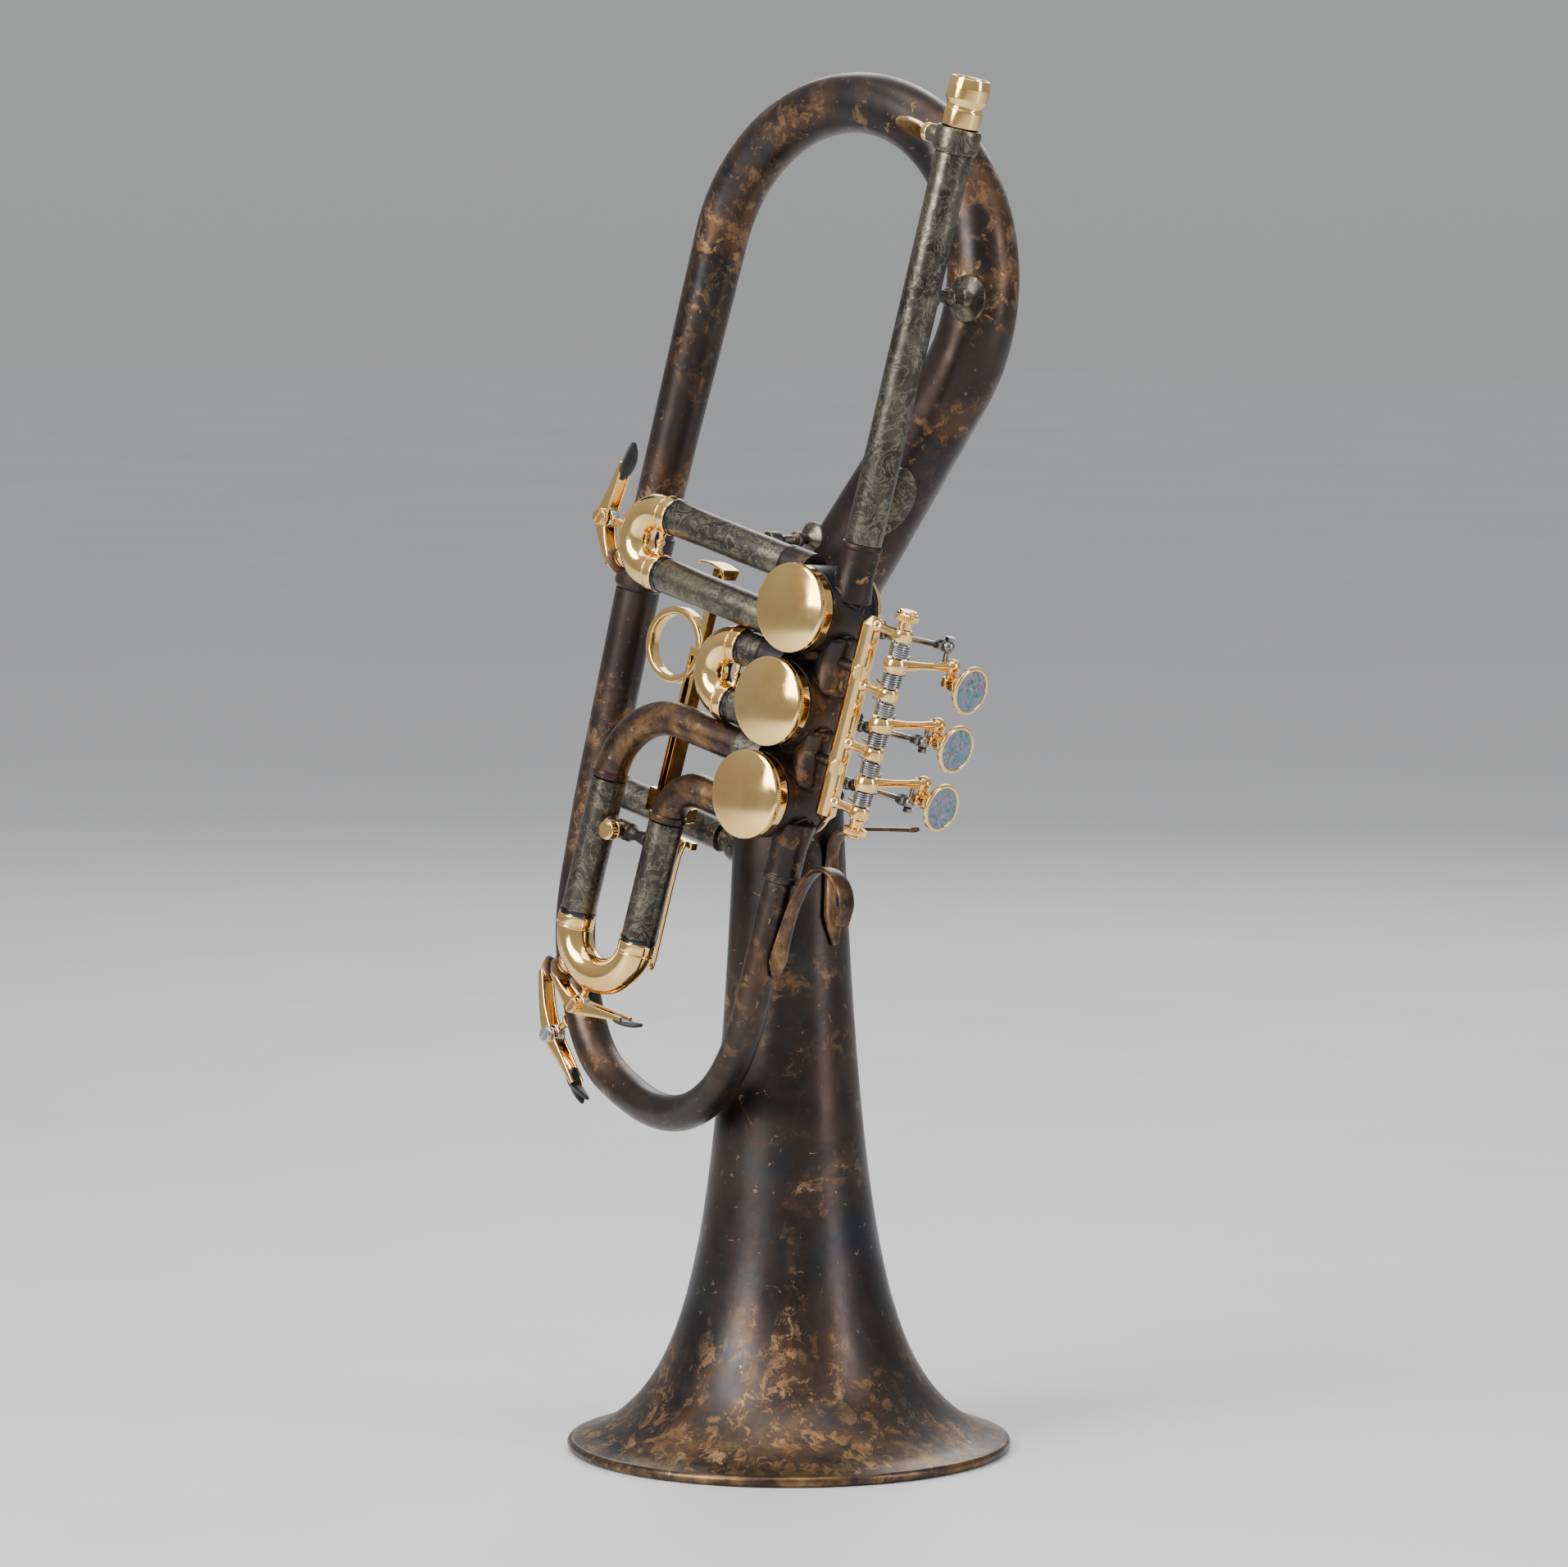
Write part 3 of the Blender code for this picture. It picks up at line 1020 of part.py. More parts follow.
def build_spring(number, v):
    """Double coil spring, one coil each side of the lever's hub, joined over its arm."""
    wire = 0.42 * MM
    coil = 2.55 * MM
    turns = 3
    steps = 6
    inner = 2.4 * MM + GAP + wire
    outer = 20 * MM / 2 - 2.1 * MM - GAP - wire
    points = []
    for i in range(turns * steps + 1):
        angle = 2 * math.pi * i / steps
        points.append(Vector((-coil * math.cos(angle), outer + (inner - outer) * i / (turns * steps),
                              coil * math.sin(angle))))
    bridge = [Vector((-coil - 0.8 * MM, inner, -4.0 * MM)), Vector((-2.6 * MM, inner, -9.0 * MM)),
              Vector((-2.6 * MM, 0, -10.5 * MM))]
    mirror = [Vector((p.x, -p.y, p.z)) for p in (points + bridge[:2])[::-1]]
    path = points + bridge + mirror
    origin = Vector((AXLE_S, v, AXLE_R))
    data = curve_data("lever_spring_%d" % number, path, [wire] * len(path), 4, caps=True)
    add_object("lever_spring_%d" % number, data, "steel", at=origin)


def build_levers():
    build_rail()
    build_axle()
    for number, v in enumerate(LEVER_V, start=1):
        build_lever(number, v)
        build_rod(number, v)
        build_spring(number, v)


build_bell()
build_tail()
build_main_bow()
build_main_key(build_lower_bow())
build_trigger()
build_trigger_guide()
build_bell_brace()
build_bow_stay()
build_slide_stay()
build_hooks()
build_valves()
build_leadpipe()
build_receiver()
build_thumb_screw()
build_slides()
build_levers()
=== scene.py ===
"""Looks of a rotary-valve flugelhorn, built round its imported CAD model.

Lengths are millimetres in two frames.  The valve frame is taken from the joints: S points to the
finger levers, V runs along the valve row to the mouthpiece, R is the rotors' axis towards the caps.
The bell frame is the world: its origin is the middle of the bell rim, on the floor.
"""
import json
import math

import bmesh
import bpy
from mathutils import Matrix, Vector


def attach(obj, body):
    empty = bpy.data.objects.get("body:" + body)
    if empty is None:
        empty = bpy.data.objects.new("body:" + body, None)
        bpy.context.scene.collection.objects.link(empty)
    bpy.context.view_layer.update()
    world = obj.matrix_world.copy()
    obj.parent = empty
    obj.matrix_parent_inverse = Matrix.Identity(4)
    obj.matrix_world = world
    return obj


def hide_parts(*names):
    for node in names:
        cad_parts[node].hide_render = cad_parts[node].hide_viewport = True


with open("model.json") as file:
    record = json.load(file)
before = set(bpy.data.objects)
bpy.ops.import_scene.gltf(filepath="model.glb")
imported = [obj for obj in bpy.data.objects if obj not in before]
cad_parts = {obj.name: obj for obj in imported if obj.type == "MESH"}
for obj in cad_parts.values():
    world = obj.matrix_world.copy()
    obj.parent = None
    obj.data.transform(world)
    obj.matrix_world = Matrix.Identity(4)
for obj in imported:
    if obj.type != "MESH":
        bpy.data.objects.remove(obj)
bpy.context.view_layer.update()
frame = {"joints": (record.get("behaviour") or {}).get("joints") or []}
JOINTS = {joint["name"]: joint for joint in frame["joints"]}

# ---- frames ----------------------------------------------------------------------------------
MM = 0.001
WORLD = Matrix.Scale(MM, 4)
CREASE = 32                     # edges sharper than this many degrees stay sharp


def valve_frame():
    """The valve row's frame, from the middle rotor's axis and the levers' axle."""
    origin = Vector(JOINTS["rotor_2_turn"]["pos_m"])
    rotor_axis = Vector(JOINTS["rotor_2_turn"]["axis"]).normalized()
    row_axis = Vector(JOINTS["lever_1_press"]["axis"]).normalized()
    lever_axis = row_axis.cross(rotor_axis)
    turn = Matrix((lever_axis, row_axis, rotor_axis)).transposed().to_4x4()
    return Matrix.Translation(origin) @ turn @ WORLD


VALVES = valve_frame()
TO_VALVES = VALVES.inverted()


def joint_place(name):
    """A joint's point in the valve frame."""
    return TO_VALVES @ Vector(JOINTS[name]["pos_m"])


V_AXIS = Vector((0, 1, 0))
R_AXIS = Vector((0, 0, 1))

# ---- driving dimensions ------------------------------------------------------------------------
VALVE_V = [joint_place("rotor_%d_turn" % n).y for n in (1, 2, 3)]
LEVER_V = [joint_place("lever_%d_press" % n).y for n in (1, 2, 3)]
AXLE_S = joint_place("lever_1_press").x
AXLE_R = joint_place("lever_1_press").z
BALL_AT = [joint_place("rod_%d_swing" % n) for n in (1, 2, 3)]
CAP_FACE = 16.6
CASING_R = 14.2
CASING_FRONT = 10.6
CASING_BACK = -11.0
PORT = 9.8                      # tubes meet the casings this far off the rotor's axis
SLEEVE_R = 5.85
LEG_R = 5.0
CROOK_R = 6.1
BELL_FLARE = 278.3              # radius = BELL_FLARE / sqrt(height + BELL_FOOT)
BELL_FOOT = 12.0
BELL_RIM_R = 75.2
RIM_WIRE = 1.75
BOW_R = -37.0                   # plane of the main bow
BOW_CENTRE = Vector((-56.5, 129.5, BOW_R))
BOW_RADIUS = 60.0
TAIL_LEAN = 21.2                # bell tail against the valve row, degrees
TAIL_TANGENT = 32.0
TAIL_R = 14.7
PATCH_LOW = 28.0                # oval plate, from the lower end of the bow
PATCH_TOP = 56.0
DESCENDING_S = BOW_CENTRE.x - BOW_RADIUS
LOWER_BOW = [(-116.5, 4.9, -37.0), (-114.9, -34.0, -37.0), (-112.9, -78.0, -37.0),
             (-106.6, -118.0, -36.2), (-83.5, -149.5, -33.2), (-54.5, -157.6, -27.6),
             (-27.0, -153.2, -19.0), (-4.4, -137.5, -9.0), (8.0, -114.5, -2.0), (10.0, -86.0, 0.0),
             (PORT, -58.8, 0.0)]
LEADPIPE_LOW = 57.0
LEADPIPE_TOP = 187.0
LEADPIPE_TILT = 0.75
COLLAR_TOP = 195.4
RECEIVER_TOP = 211.7
RAIL_S = 23.8
HUB_R = 4.0
POST_V = [(LEVER_V[0] + 10.0) - 20.0 * i for i in range(4)]
LEVER_ARM = 28.0
STOP_RADIUS = 8.4
STOP_SIDE = (-1, -1, 1)
STOP_FRONT = CASING_BACK - 8.2
STOP_BACK = STOP_FRONT - 2.2
THIRD_OUTER_S = -75.0
THIRD_INNER_S = -45.4
THIRD_SLEEVE_END = -98.0
THIRD_CROOK = Vector(((THIRD_INNER_S + THIRD_OUTER_S) / 2, THIRD_SLEEVE_END - 2.0, 0.0))
LYRE_V = -64.5
LYRE_S = THIRD_OUTER_S + 12.4
TRIGGER_S = -62.0
TRIGGER_R = -15.0


# ---- shells: (points, faces) of closed surfaces, in millimetres ----------------------------------
def aim(point, direction):
    """A placement at a point with the Z axis along a direction."""
    turn = Vector(direction).to_track_quat("Z", "Y").to_matrix().to_4x4()
    return Matrix.Translation(Vector(point)) @ turn


def along(axis):
    """The Z axis turned to an axis of the valve frame."""
    return {"S": Matrix.Rotation(math.radians(90), 4, "Y"),
            "V": Matrix.Rotation(math.radians(-90), 4, "X"),
            "R": Matrix.Identity(4)}[axis]


def at(s, v, r=0.0, axis="R"):
    """A placement at a point of the valve frame with the Z axis along one of its axes."""
    return Matrix.Translation((s, v, r)) @ along(axis)


def soften(profile, radius=0.35, count=4, hollow=False):
    """Round the corners of a profile."""
    points = [Vector(point) for point in profile]
    out = []
    total = len(points)
    for i, point in enumerate(points):
        if not hollow and i in (0, total - 1):
            out.append(point)
            continue
        before = points[i - 1] - point
        after = points[(i + 1) % total] - point
        if before.length < 1e-6 or after.length < 1e-6 or before.angle(after) > math.radians(165):
            out.append(point)
            continue
        reach = min(radius, 0.45 * before.length, 0.45 * after.length)
        start = point + before.normalized() * reach
        end = point + after.normalized() * reach
        for j in range(count + 1):
            t = j / count
            out.append(start * (1 - t) ** 2 + point * 2 * t * (1 - t) + end * t ** 2)
    return [tuple(point) for point in out]


def turned(profile, place=None, steps=64, hollow=False, knurl=0.0, knurled=None):
    """Turn (radius, height) points about the placement's Z axis.

    knurl is the depth of fine grooves along the points whose heights lie within knurled.
    """
    place = place or Matrix()
    points = []
    rings = []
    for radius, height in profile:
        if radius < 1e-6:
            rings.append([len(points)])
            points.append(place @ Vector((0, 0, height)))
            continue
        grooved = knurled and knurled[0] <= height <= knurled[1]
        ring = []
        for i in range(steps):
            angle = 2 * math.pi * i / steps
            reach = radius - (knurl * (i % 2) if grooved else 0.0)
            ring.append(len(points))
            points.append(place @ Vector((reach * math.cos(angle), reach * math.sin(angle), height)))
        rings.append(ring)
    pairs = list(zip(rings, rings[1:]))
    if hollow:
        pairs.append((rings[-1], rings[0]))
    faces = []
    for upper, lower in pairs:
        for i in range(steps):
            j = (i + 1) % steps
            if len(upper) == 1 and len(lower) == 1:
                continue
            if len(upper) == 1:
                faces.append((upper[0], lower[i], lower[j]))
            elif len(lower) == 1:
                faces.append((upper[i], lower[0], upper[j]))
            else:
                faces.append((upper[i], lower[i], lower[j], upper[j]))
    return points, faces


def lathe(profile, place=None, steps=64, corner=0.3, count=4, hollow=False, knurl=0.0, knurled=None):
    """Turn a profile whose corners are rounded first."""
    return turned(soften(profile, corner, count, hollow), place, steps, hollow, knurl, knurled)


def oval(sides=32, power=2.0):
    """A unit section: a circle at power 2, and a rounded square above it."""
    out = []
    for i in range(sides):
        c = math.cos(2 * math.pi * (i + 0.5) / sides)
        s = math.sin(2 * math.pi * (i + 0.5) / sides)
        out.append((math.copysign(abs(c) ** (2 / power), c), math.copysign(abs(s) ** (2 / power), s)))
    return out


def sweep(path, sizes, section=None, side=None):
    """Sweep a section along a path. A size is a radius, or (half width along side, half height)."""
    section = section or oval(40)
    path = [Vector(point) for point in path]
    last = len(path) - 1
    across = Vector(side).normalized() if side is not None else None
    points = []
    for i, point in enumerate(path):
        ahead = (path[min(i + 1, last)] - path[max(i - 1, 0)]).normalized()
        if across is None:
            across = ahead.orthogonal().normalized()
        if side is None:
            across = (across - ahead * across.dot(ahead)).normalized()
        up = ahead.cross(across).normalized()
        wide, high = sizes[i] if isinstance(sizes[i], tuple) else (sizes[i], sizes[i])
        points += [point + across * x * wide + up * y * high for x, y in section]
    count = len(section)
    faces = [tuple(range(count))[::-1], tuple(range(last * count, (last + 1) * count))]
    for i in range(last):
        for j in range(count):
            k = (j + 1) % count
            faces.append((i * count + j, i * count + k, (i + 1) * count + k, (i + 1) * count + j))
    return points, faces


def plate(outline, low, high, place=None, bevel=0.25):
    """A flat piece: an outline in the placement's X, Y plane between two heights, edges bevelled."""
    place = place or Matrix()
    total = len(outline)
    flat = [Vector(point) for point in outline]
    area = sum(flat[i - 1].cross(flat[i]) for i in range(total))
    if area < 0:
        flat.reverse()
    inset = []
    for i, point in enumerate(flat):
        first = (point - flat[i - 1]).normalized()
        second = (flat[(i + 1) % total] - point).normalized()
        inward = Vector((-first.y - second.y, first.x + second.x))
        inset.append(point + inward.normalized() * bevel)
    layers = [(inset, low), (flat, low + bevel), (flat, high - bevel), (inset, high)]
    points = [place @ Vector((p.x, p.y, height)) for ring, height in layers for p in ring]
    faces = [tuple(range(total))[::-1], tuple(range(3 * total, 4 * total))]
    for i in range(3):
        for j in range(total):
            k = (j + 1) % total
            faces.append((i * total + j, i * total + k, (i + 1) * total + k, (i + 1) * total + j))
    return points, faces


def box(size, place=None, corner=0.5):
    """A block with rounded edges, its size along the placement's X, Y and Z."""
    half = Vector(size) / 2
    outline = []
    for quarter, (sx, sy) in enumerate(((1, 1), (-1, 1), (-1, -1), (1, -1))):
        for i in range(5):
            angle = math.radians(22.5 * i + 90 * quarter)
            outline.append((sx * (half.x - corner) + corner * math.cos(angle),
                            sy * (half.y - corner) + corner * math.sin(angle)))
    return plate(outline, -half.z, half.z, place, min(corner, half.z * 0.4))


def ball(centre, radius, steps=32):
    """A ball."""
    profile = [(radius * math.sin(math.pi * i / 16), radius * math.cos(math.pi * i / 16))
               for i in range(17)]
    profile[0] = (0.0, radius)
    profile[-1] = (0.0, -radius)
    return turned(profile, Matrix.Translation(Vector(centre)), steps)


def ring(outer, inner, top, bottom, place=None, steps=64, corner=0.3):
    """A tube with rounded edges."""
    profile = [(outer, top), (outer, bottom), (inner, bottom), (inner, top)]
    return lathe(profile, place, steps, corner, hollow=True)


def rod(radius, top, bottom, place=None, steps=40, corner=0.3):
    """A round bar with rounded ends."""
    return lathe([(0, top), (radius, top), (radius, bottom), (0, bottom)], place, steps, corner)


def slotted(radius, height, slot, place):
    """A screw head whose slot runs right across it."""
    shells = [rod(radius, height * 0.45, 0, place, 40, 0.15)]
    limit = math.asin(slot / 2 / radius)
    for sign in (1, -1):
        outline = []
        for i in range(17):
            angle = limit + (math.pi - 2 * limit) * i / 16
            outline.append((radius * math.cos(angle), sign * radius * math.sin(angle)))
        shells.append(plate(outline, height * 0.3, height, place, 0.2))
    return shells


def square_tube(outer, inner, half, place):
    """A square tube of half length half along the placement's Z axis, from half widths in X and Y."""
    points = []
    for (wide, high), height in ((outer, half), (outer, -half), (inner, -half), (inner, half)):
        for side, rise in ((-1, -1), (1, -1), (1, 1), (-1, 1)):
            points.append(place @ Vector((wide * side, high * rise, height)))
    faces = []
    for i in range(4):
        for j in range(4):
            k = (j + 1) % 4
            n = (i + 1) % 4
            faces.append((4 * i + j, 4 * i + k, 4 * n + k, 4 * n + j))
    return points, faces


def curved_plate(rows, columns, point_at):
    """A thin plate whose points are point_at(row, column, layer), on layers 0 and 1."""
    wide = columns + 1
    total = (rows + 1) * wide
    points = []
    for layer in (0, 1):
        points += [point_at(i, j, layer) for i in range(rows + 1) for j in range(wide)]
    faces = []
    for i in range(rows):
        for j in range(columns):
            a = i * wide + j
            faces.append((a, a + 1, a + wide + 1, a + wide))
            faces.append((total + a, total + a + wide, total + a + wide + 1, total + a + 1))
    rim = [i * wide for i in range(rows)]
    rim += [rows * wide + j for j in range(columns)]
    rim += [i * wide + columns for i in range(rows, 0, -1)]
    rim += list(range(columns, 0, -1))
    faces += [(a, b, total + b, total + a) for a, b in zip(rim, rim[1:] + rim[:1])]
    return points, faces


def arc(centre, radius, start, end, count, depth=0.0):
    """Points of an arc in the plane R = depth; degrees from S towards V."""
    angles = [math.radians(start + (end - start) * i / count) for i in range(count + 1)]
    return [Vector((centre[0] + radius * math.cos(a), centre[1] + radius * math.sin(a), depth))
            for a in angles]


def spline(knots, steps):
    """Points of a smooth curve through the knots (Catmull-Rom)."""
    knots = [Vector(knot) for knot in knots]
    ends = [knots[0] * 2 - knots[1]] + knots + [knots[-1] * 2 - knots[-2]]
    points = []
    for i in range(1, len(ends) - 2):
        p0, p1, p2, p3 = ends[i - 1:i + 3]
        for j in range(steps):
            t = j / steps
            points.append(0.5 * (2 * p1 + (p2 - p0) * t + (2 * p0 - 5 * p1 + 4 * p2 - p3) * t ** 2
                                 + (3 * p1 - p0 - 3 * p2 + p3) * t ** 3))
    points.append(knots[-1])
    return points


def spread(values, count):
    """Values given at even steps, taken at count + 1 even steps."""
    out = []
    for i in range(count + 1):
        place = i / count * (len(values) - 1)
        low = min(int(place), len(values) - 2)
        share = place - low
        out.append(values[low] * (1 - share) + values[low + 1] * share)
    return out


def coil(radius, start, end, turns, axis_point, per_turn=18):
    """Points of a coil round the V axis through axis_point, from V = start to V = end."""
    count = int(turns * per_turn)
    points = []
    for i in range(count + 1):
        angle = 2 * math.pi * i / per_turn
        points.append(Vector((axis_point.x - radius * math.cos(angle), start + (end - start) * i / count,
                              axis_point.z + radius * math.sin(angle))))
    return points


def make(name, body, shells, nodes=(), into=VALVES):
    """One piece of the visual model from (shell, material) pairs, riding on a body."""
    points = []
    faces = []
    indices = []
    materials = []
    for (shell_points, shell_faces), material in shells:
        base = len(points)
        points += [into @ point for point in shell_points]
        faces += [tuple(base + i for i in face) for face in shell_faces]
        if material not in materials:
            materials.append(material)
        indices += [materials.index(material)] * len(shell_faces)
    mesh = bpy.data.meshes.new(name)
    mesh.from_pydata(points, [], faces)
    for material in materials:
        mesh.materials.append(material)
    mesh.polygons.foreach_set("material_index", indices)
    edit = bmesh.new()
    edit.from_mesh(mesh)
    bmesh.ops.recalc_face_normals(edit, faces=edit.faces)
    edit.to_mesh(mesh)
    edit.free()
    mesh.shade_smooth()
    mesh.set_sharp_from_angle(angle=math.radians(CREASE))
    piece = bpy.data.objects.new(name, mesh)
    bpy.context.scene.collection.objects.link(piece)
    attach(piece, body)
    if nodes:
        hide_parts(*nodes)


class Graph:
    """A Principled material and short calls for the nodes that feed it."""

    def __init__(self, name, metallic=0.0, roughness=0.5):
        """Start from a Principled shader and the object's own coordinates."""
        self.material = bpy.data.materials.new(name)
        self.material.use_nodes = True
        self.tree = self.material.node_tree
        self.shader = self.tree.nodes["Principled BSDF"]
        self.shader.inputs["Metallic"].default_value = metallic
        self.shader.inputs["Roughness"].default_value = roughness
        self.place = self.node("ShaderNodeTexCoord").outputs["Object"]

    def node(self, kind, inputs=None, **settings):
        """Add a node; sockets are linked, other inputs are set."""
        made = self.tree.nodes.new(kind)
        for key, value in settings.items():
            setattr(made, key, value)
        for key, value in (inputs or {}).items():
            if isinstance(value, bpy.types.NodeSocket):
                self.tree.links.new(value, made.inputs[key])
            else:
                made.inputs[key].default_value = value
        return made

    def noise(self, scale, detail=6.0, roughness=0.55, distortion=0.0, place=None):
        """A noise pattern's factor."""
        made = self.node("ShaderNodeTexNoise", {"Vector": place or self.place, "Scale": scale,
                                                "Detail": detail, "Roughness": roughness,
                                                "Distortion": distortion})
        return made.outputs["Fac"]

    def stretched(self, scale):
        """The object's coordinates, scaled along each axis."""
        return self.node("ShaderNodeMapping", {"Vector": self.place, "Scale": scale}).outputs["Vector"]

    def ramp(self, value, stops):
        """A colour ramp over a value; plain numbers are greys."""
        made = self.node("ShaderNodeValToRGB", {"Fac": value})
        elements = made.color_ramp.elements
        while len(elements) < len(stops):
            elements.new(0.5)
        for element, (position, colour) in zip(elements, stops):
            element.position = position
            if not isinstance(colour, tuple):
                colour = (colour, colour, colour)
            element.color = (*colour, 1.0)
        return made.outputs["Color"]

    def mix(self, share, first, second, mode="MIX"):
        """Two colours mixed by a share."""
        made = self.node("ShaderNodeMix", data_type="RGBA", blend_type=mode)
        for key, value in ((0, share), (6, first), (7, second)):
            if isinstance(value, bpy.types.NodeSocket):
                self.tree.links.new(value, made.inputs[key])
            else:
                made.inputs[key].default_value = (*value, 1.0) if isinstance(value, tuple) else value
        return made.outputs[2]

    def math(self, operation, first, second):
        """A sum, product or maximum, clamped to 0..1."""
        return self.node("ShaderNodeMath", {0: first, 1: second}, operation=operation,
                         use_clamp=True).outputs[0]

    def height(self):
        """Height in the object's coordinates."""
        return self.node("ShaderNodeSeparateXYZ", {0: self.place}).outputs["Z"]

    def span(self, value, low, high, start, end):
        """A value mapped from one range to another."""
        return self.node("ShaderNodeMapRange", {"Value": value, "From Min": low, "From Max": high,
                                                "To Min": start, "To Max": end}).outputs["Result"]

    def feed(self, colour=None, roughness=None, height=None, depth=0.0001, strength=1.0):
        """Connect colour, roughness and relief to the shader."""
        if colour is not None:
            self.tree.links.new(colour, self.shader.inputs["Base Color"])
        if roughness is not None:
            self.tree.links.new(roughness, self.shader.inputs["Roughness"])
        if height is not None:
            bump = self.node("ShaderNodeBump", {"Height": height, "Distance": depth,
                                                "Strength": strength})
            self.tree.links.new(bump.outputs["Normal"], self.shader.inputs["Normal"])
        return self.material


def make_patina():
    """Near-black patina on brass: slate sheen, rust haze, copper flakes, gold worn through at the rim."""
    g = Graph("patina", metallic=0.80)
    clouds = g.noise(22.0, 9.0, 0.62, 0.7)
    base = g.ramp(clouds, [(0.30, (0.014, 0.011, 0.012)), (0.48, (0.030, 0.021, 0.020)),
                           (0.60, (0.052, 0.032, 0.024)), (0.74, (0.090, 0.050, 0.030))])
    slate = g.ramp(g.noise(16.0, 5.0, 0.55, 1.4), [(0.36, (0.022, 0.032, 0.044)),
                                                   (0.50, (0.030, 0.036, 0.034)),
                                                   (0.62, (0.058, 0.040, 0.030))])
    sheen = g.ramp(g.noise(34.0, 6.0, 0.6), [(0.45, 0.0), (0.64, 0.6)])
    tinted = g.mix(sheen, base, slate)
    level = g.height()
    near_rim = g.span(level, 0.008, 0.060, 0.17, 0.0)
    near_top = g.span(level, 0.300, 0.440, 0.0, 0.08)
    region = g.math("ADD", g.noise(14.0, 5.0, 0.6, 0.9), g.math("ADD", near_rim, near_top))
    region = g.ramp(region, [(0.50, 0.0), (0.64, 1.0)])
    haze = g.ramp(g.noise(60.0, 12.0, 0.72, 0.5), [(0.42, 0.0), (0.64, 0.75)])
    hazy = g.mix(g.math("MULTIPLY", region, haze), tinted, (0.140, 0.072, 0.034))
    flakes = g.ramp(g.noise(165.0, 14.0, 0.74, 0.5), [(0.520, 0.0), (0.575, 1.0)])
    specks = g.ramp(g.noise(260.0, 8.0, 0.62, 0.8), [(0.65, 0.0), (0.67, 0.8)])
    worn = g.math("MAXIMUM", g.math("MULTIPLY", region, flakes), specks)
    copper = g.ramp(g.noise(90.0, 8.0, 0.65), [(0.36, (0.170, 0.082, 0.038)), (0.56, (0.330, 0.190, 0.080)),
                                               (0.74, (0.520, 0.350, 0.150))])
    colour = g.mix(g.math("MULTIPLY", worn, 0.78), hazy, copper)
    edge = g.math("ADD", g.noise(48.0, 12.0, 0.72, 0.4), g.span(level, 0.0, 0.030, 0.05, -0.26))
    edge = g.ramp(edge, [(0.53, 0.0), (0.62, 0.60)])
    colour = g.mix(edge, colour, (0.210, 0.140, 0.048))
    rough = g.span(g.noise(60.0, 6.0, 0.6), 0.3, 0.7, 0.28, 0.46)
    grain = g.math("MULTIPLY", g.noise(420.0, 4.0), 0.5)
    relief = g.math("ADD", g.math("MULTIPLY", worn, 0.45), grain)
    return g.feed(colour, rough, relief, 0.00008)


def make_nickel():
    """Aged nickel silver: dark slate ground under curly cream wisps and fine scratches."""
    g = Graph("nickel", metallic=0.88)
    clouds = g.noise(52.0, 12.0, 0.70, 0.8)
    base = g.ramp(clouds, [(0.32, (0.022, 0.021, 0.020)), (0.46, (0.048, 0.044, 0.037)),
                           (0.58, (0.098, 0.086, 0.064)), (0.74, (0.200, 0.170, 0.115))])
    wisps = g.ramp(g.noise(125.0, 12.0, 0.68, 1.6), [(0.47, 0.0), (0.50, 0.60), (0.53, 0.0)])
    colour = g.mix(wisps, base, (0.27, 0.235, 0.165))
    scratches = g.noise(1.0, 3.0, 0.6, 0.0, g.stretched((900.0, 900.0, 60.0)))
    rough = g.span(clouds, 0.3, 0.7, 0.42, 0.27)
    relief = g.math("ADD", g.math("MULTIPLY", clouds, 0.5), g.math("MULTIPLY", scratches, 0.4))
    return g.feed(colour, rough, relief, 0.00010)


def make_bronze():
    """Mottled bronze: violet-black patches, brown ground and peach specks where it is handled."""
    g = Graph("bronze", metallic=0.9)
    clouds = g.noise(75.0, 12.0, 0.72, 0.5)
    colour = g.ramp(clouds, [(0.32, (0.026, 0.020, 0.026)), (0.46, (0.072, 0.042, 0.026)),
                             (0.57, (0.175, 0.100, 0.045)), (0.72, (0.330, 0.210, 0.095))])
    patches = g.ramp(g.noise(34.0, 9.0, 0.68, 0.6), [(0.50, 0.0), (0.64, 0.75)])
    colour = g.mix(patches, colour, (0.034, 0.026, 0.036))
    specks = g.ramp(g.noise(330.0, 12.0, 0.72), [(0.61, 0.0), (0.66, 0.7)])
    colour = g.mix(specks, colour, (0.460, 0.300, 0.150))
    rough = g.span(g.noise(90.0, 5.0), 0.3, 0.7, 0.24, 0.42)
    return g.feed(colour, rough, clouds, 0.00010)


def make_polished(name, pale, deep, low, high):
    """A polished plated metal with faint stains and hairline polishing marks."""
    g = Graph(name, metallic=1.0)
    colour = g.mix(g.ramp(g.noise(70.0, 5.0, 0.6), [(0.40, 0.0), (0.75, 1.0)]), pale, deep)
    rough = g.span(g.noise(160.0, 8.0, 0.65), 0.35, 0.70, low, high)
    marks = g.noise(1.0, 4.0, 0.6, 0.0, g.stretched((1500.0, 260.0, 1500.0)))
    return g.feed(colour, rough, marks, 0.000006)


def make_rubber():
    """Black rubber."""
    g = Graph("rubber")
    g.shader.inputs["Specular IOR Level"].default_value = 0.35
    colour = g.ramp(g.noise(300.0, 6.0), [(0.35, (0.010, 0.010, 0.012)), (0.7, (0.028, 0.028, 0.030))])
    rough = g.span(g.noise(240.0, 4.0), 0.3, 0.7, 0.34, 0.50)
    return g.feed(colour, rough, g.noise(900.0, 3.0), 0.00003)


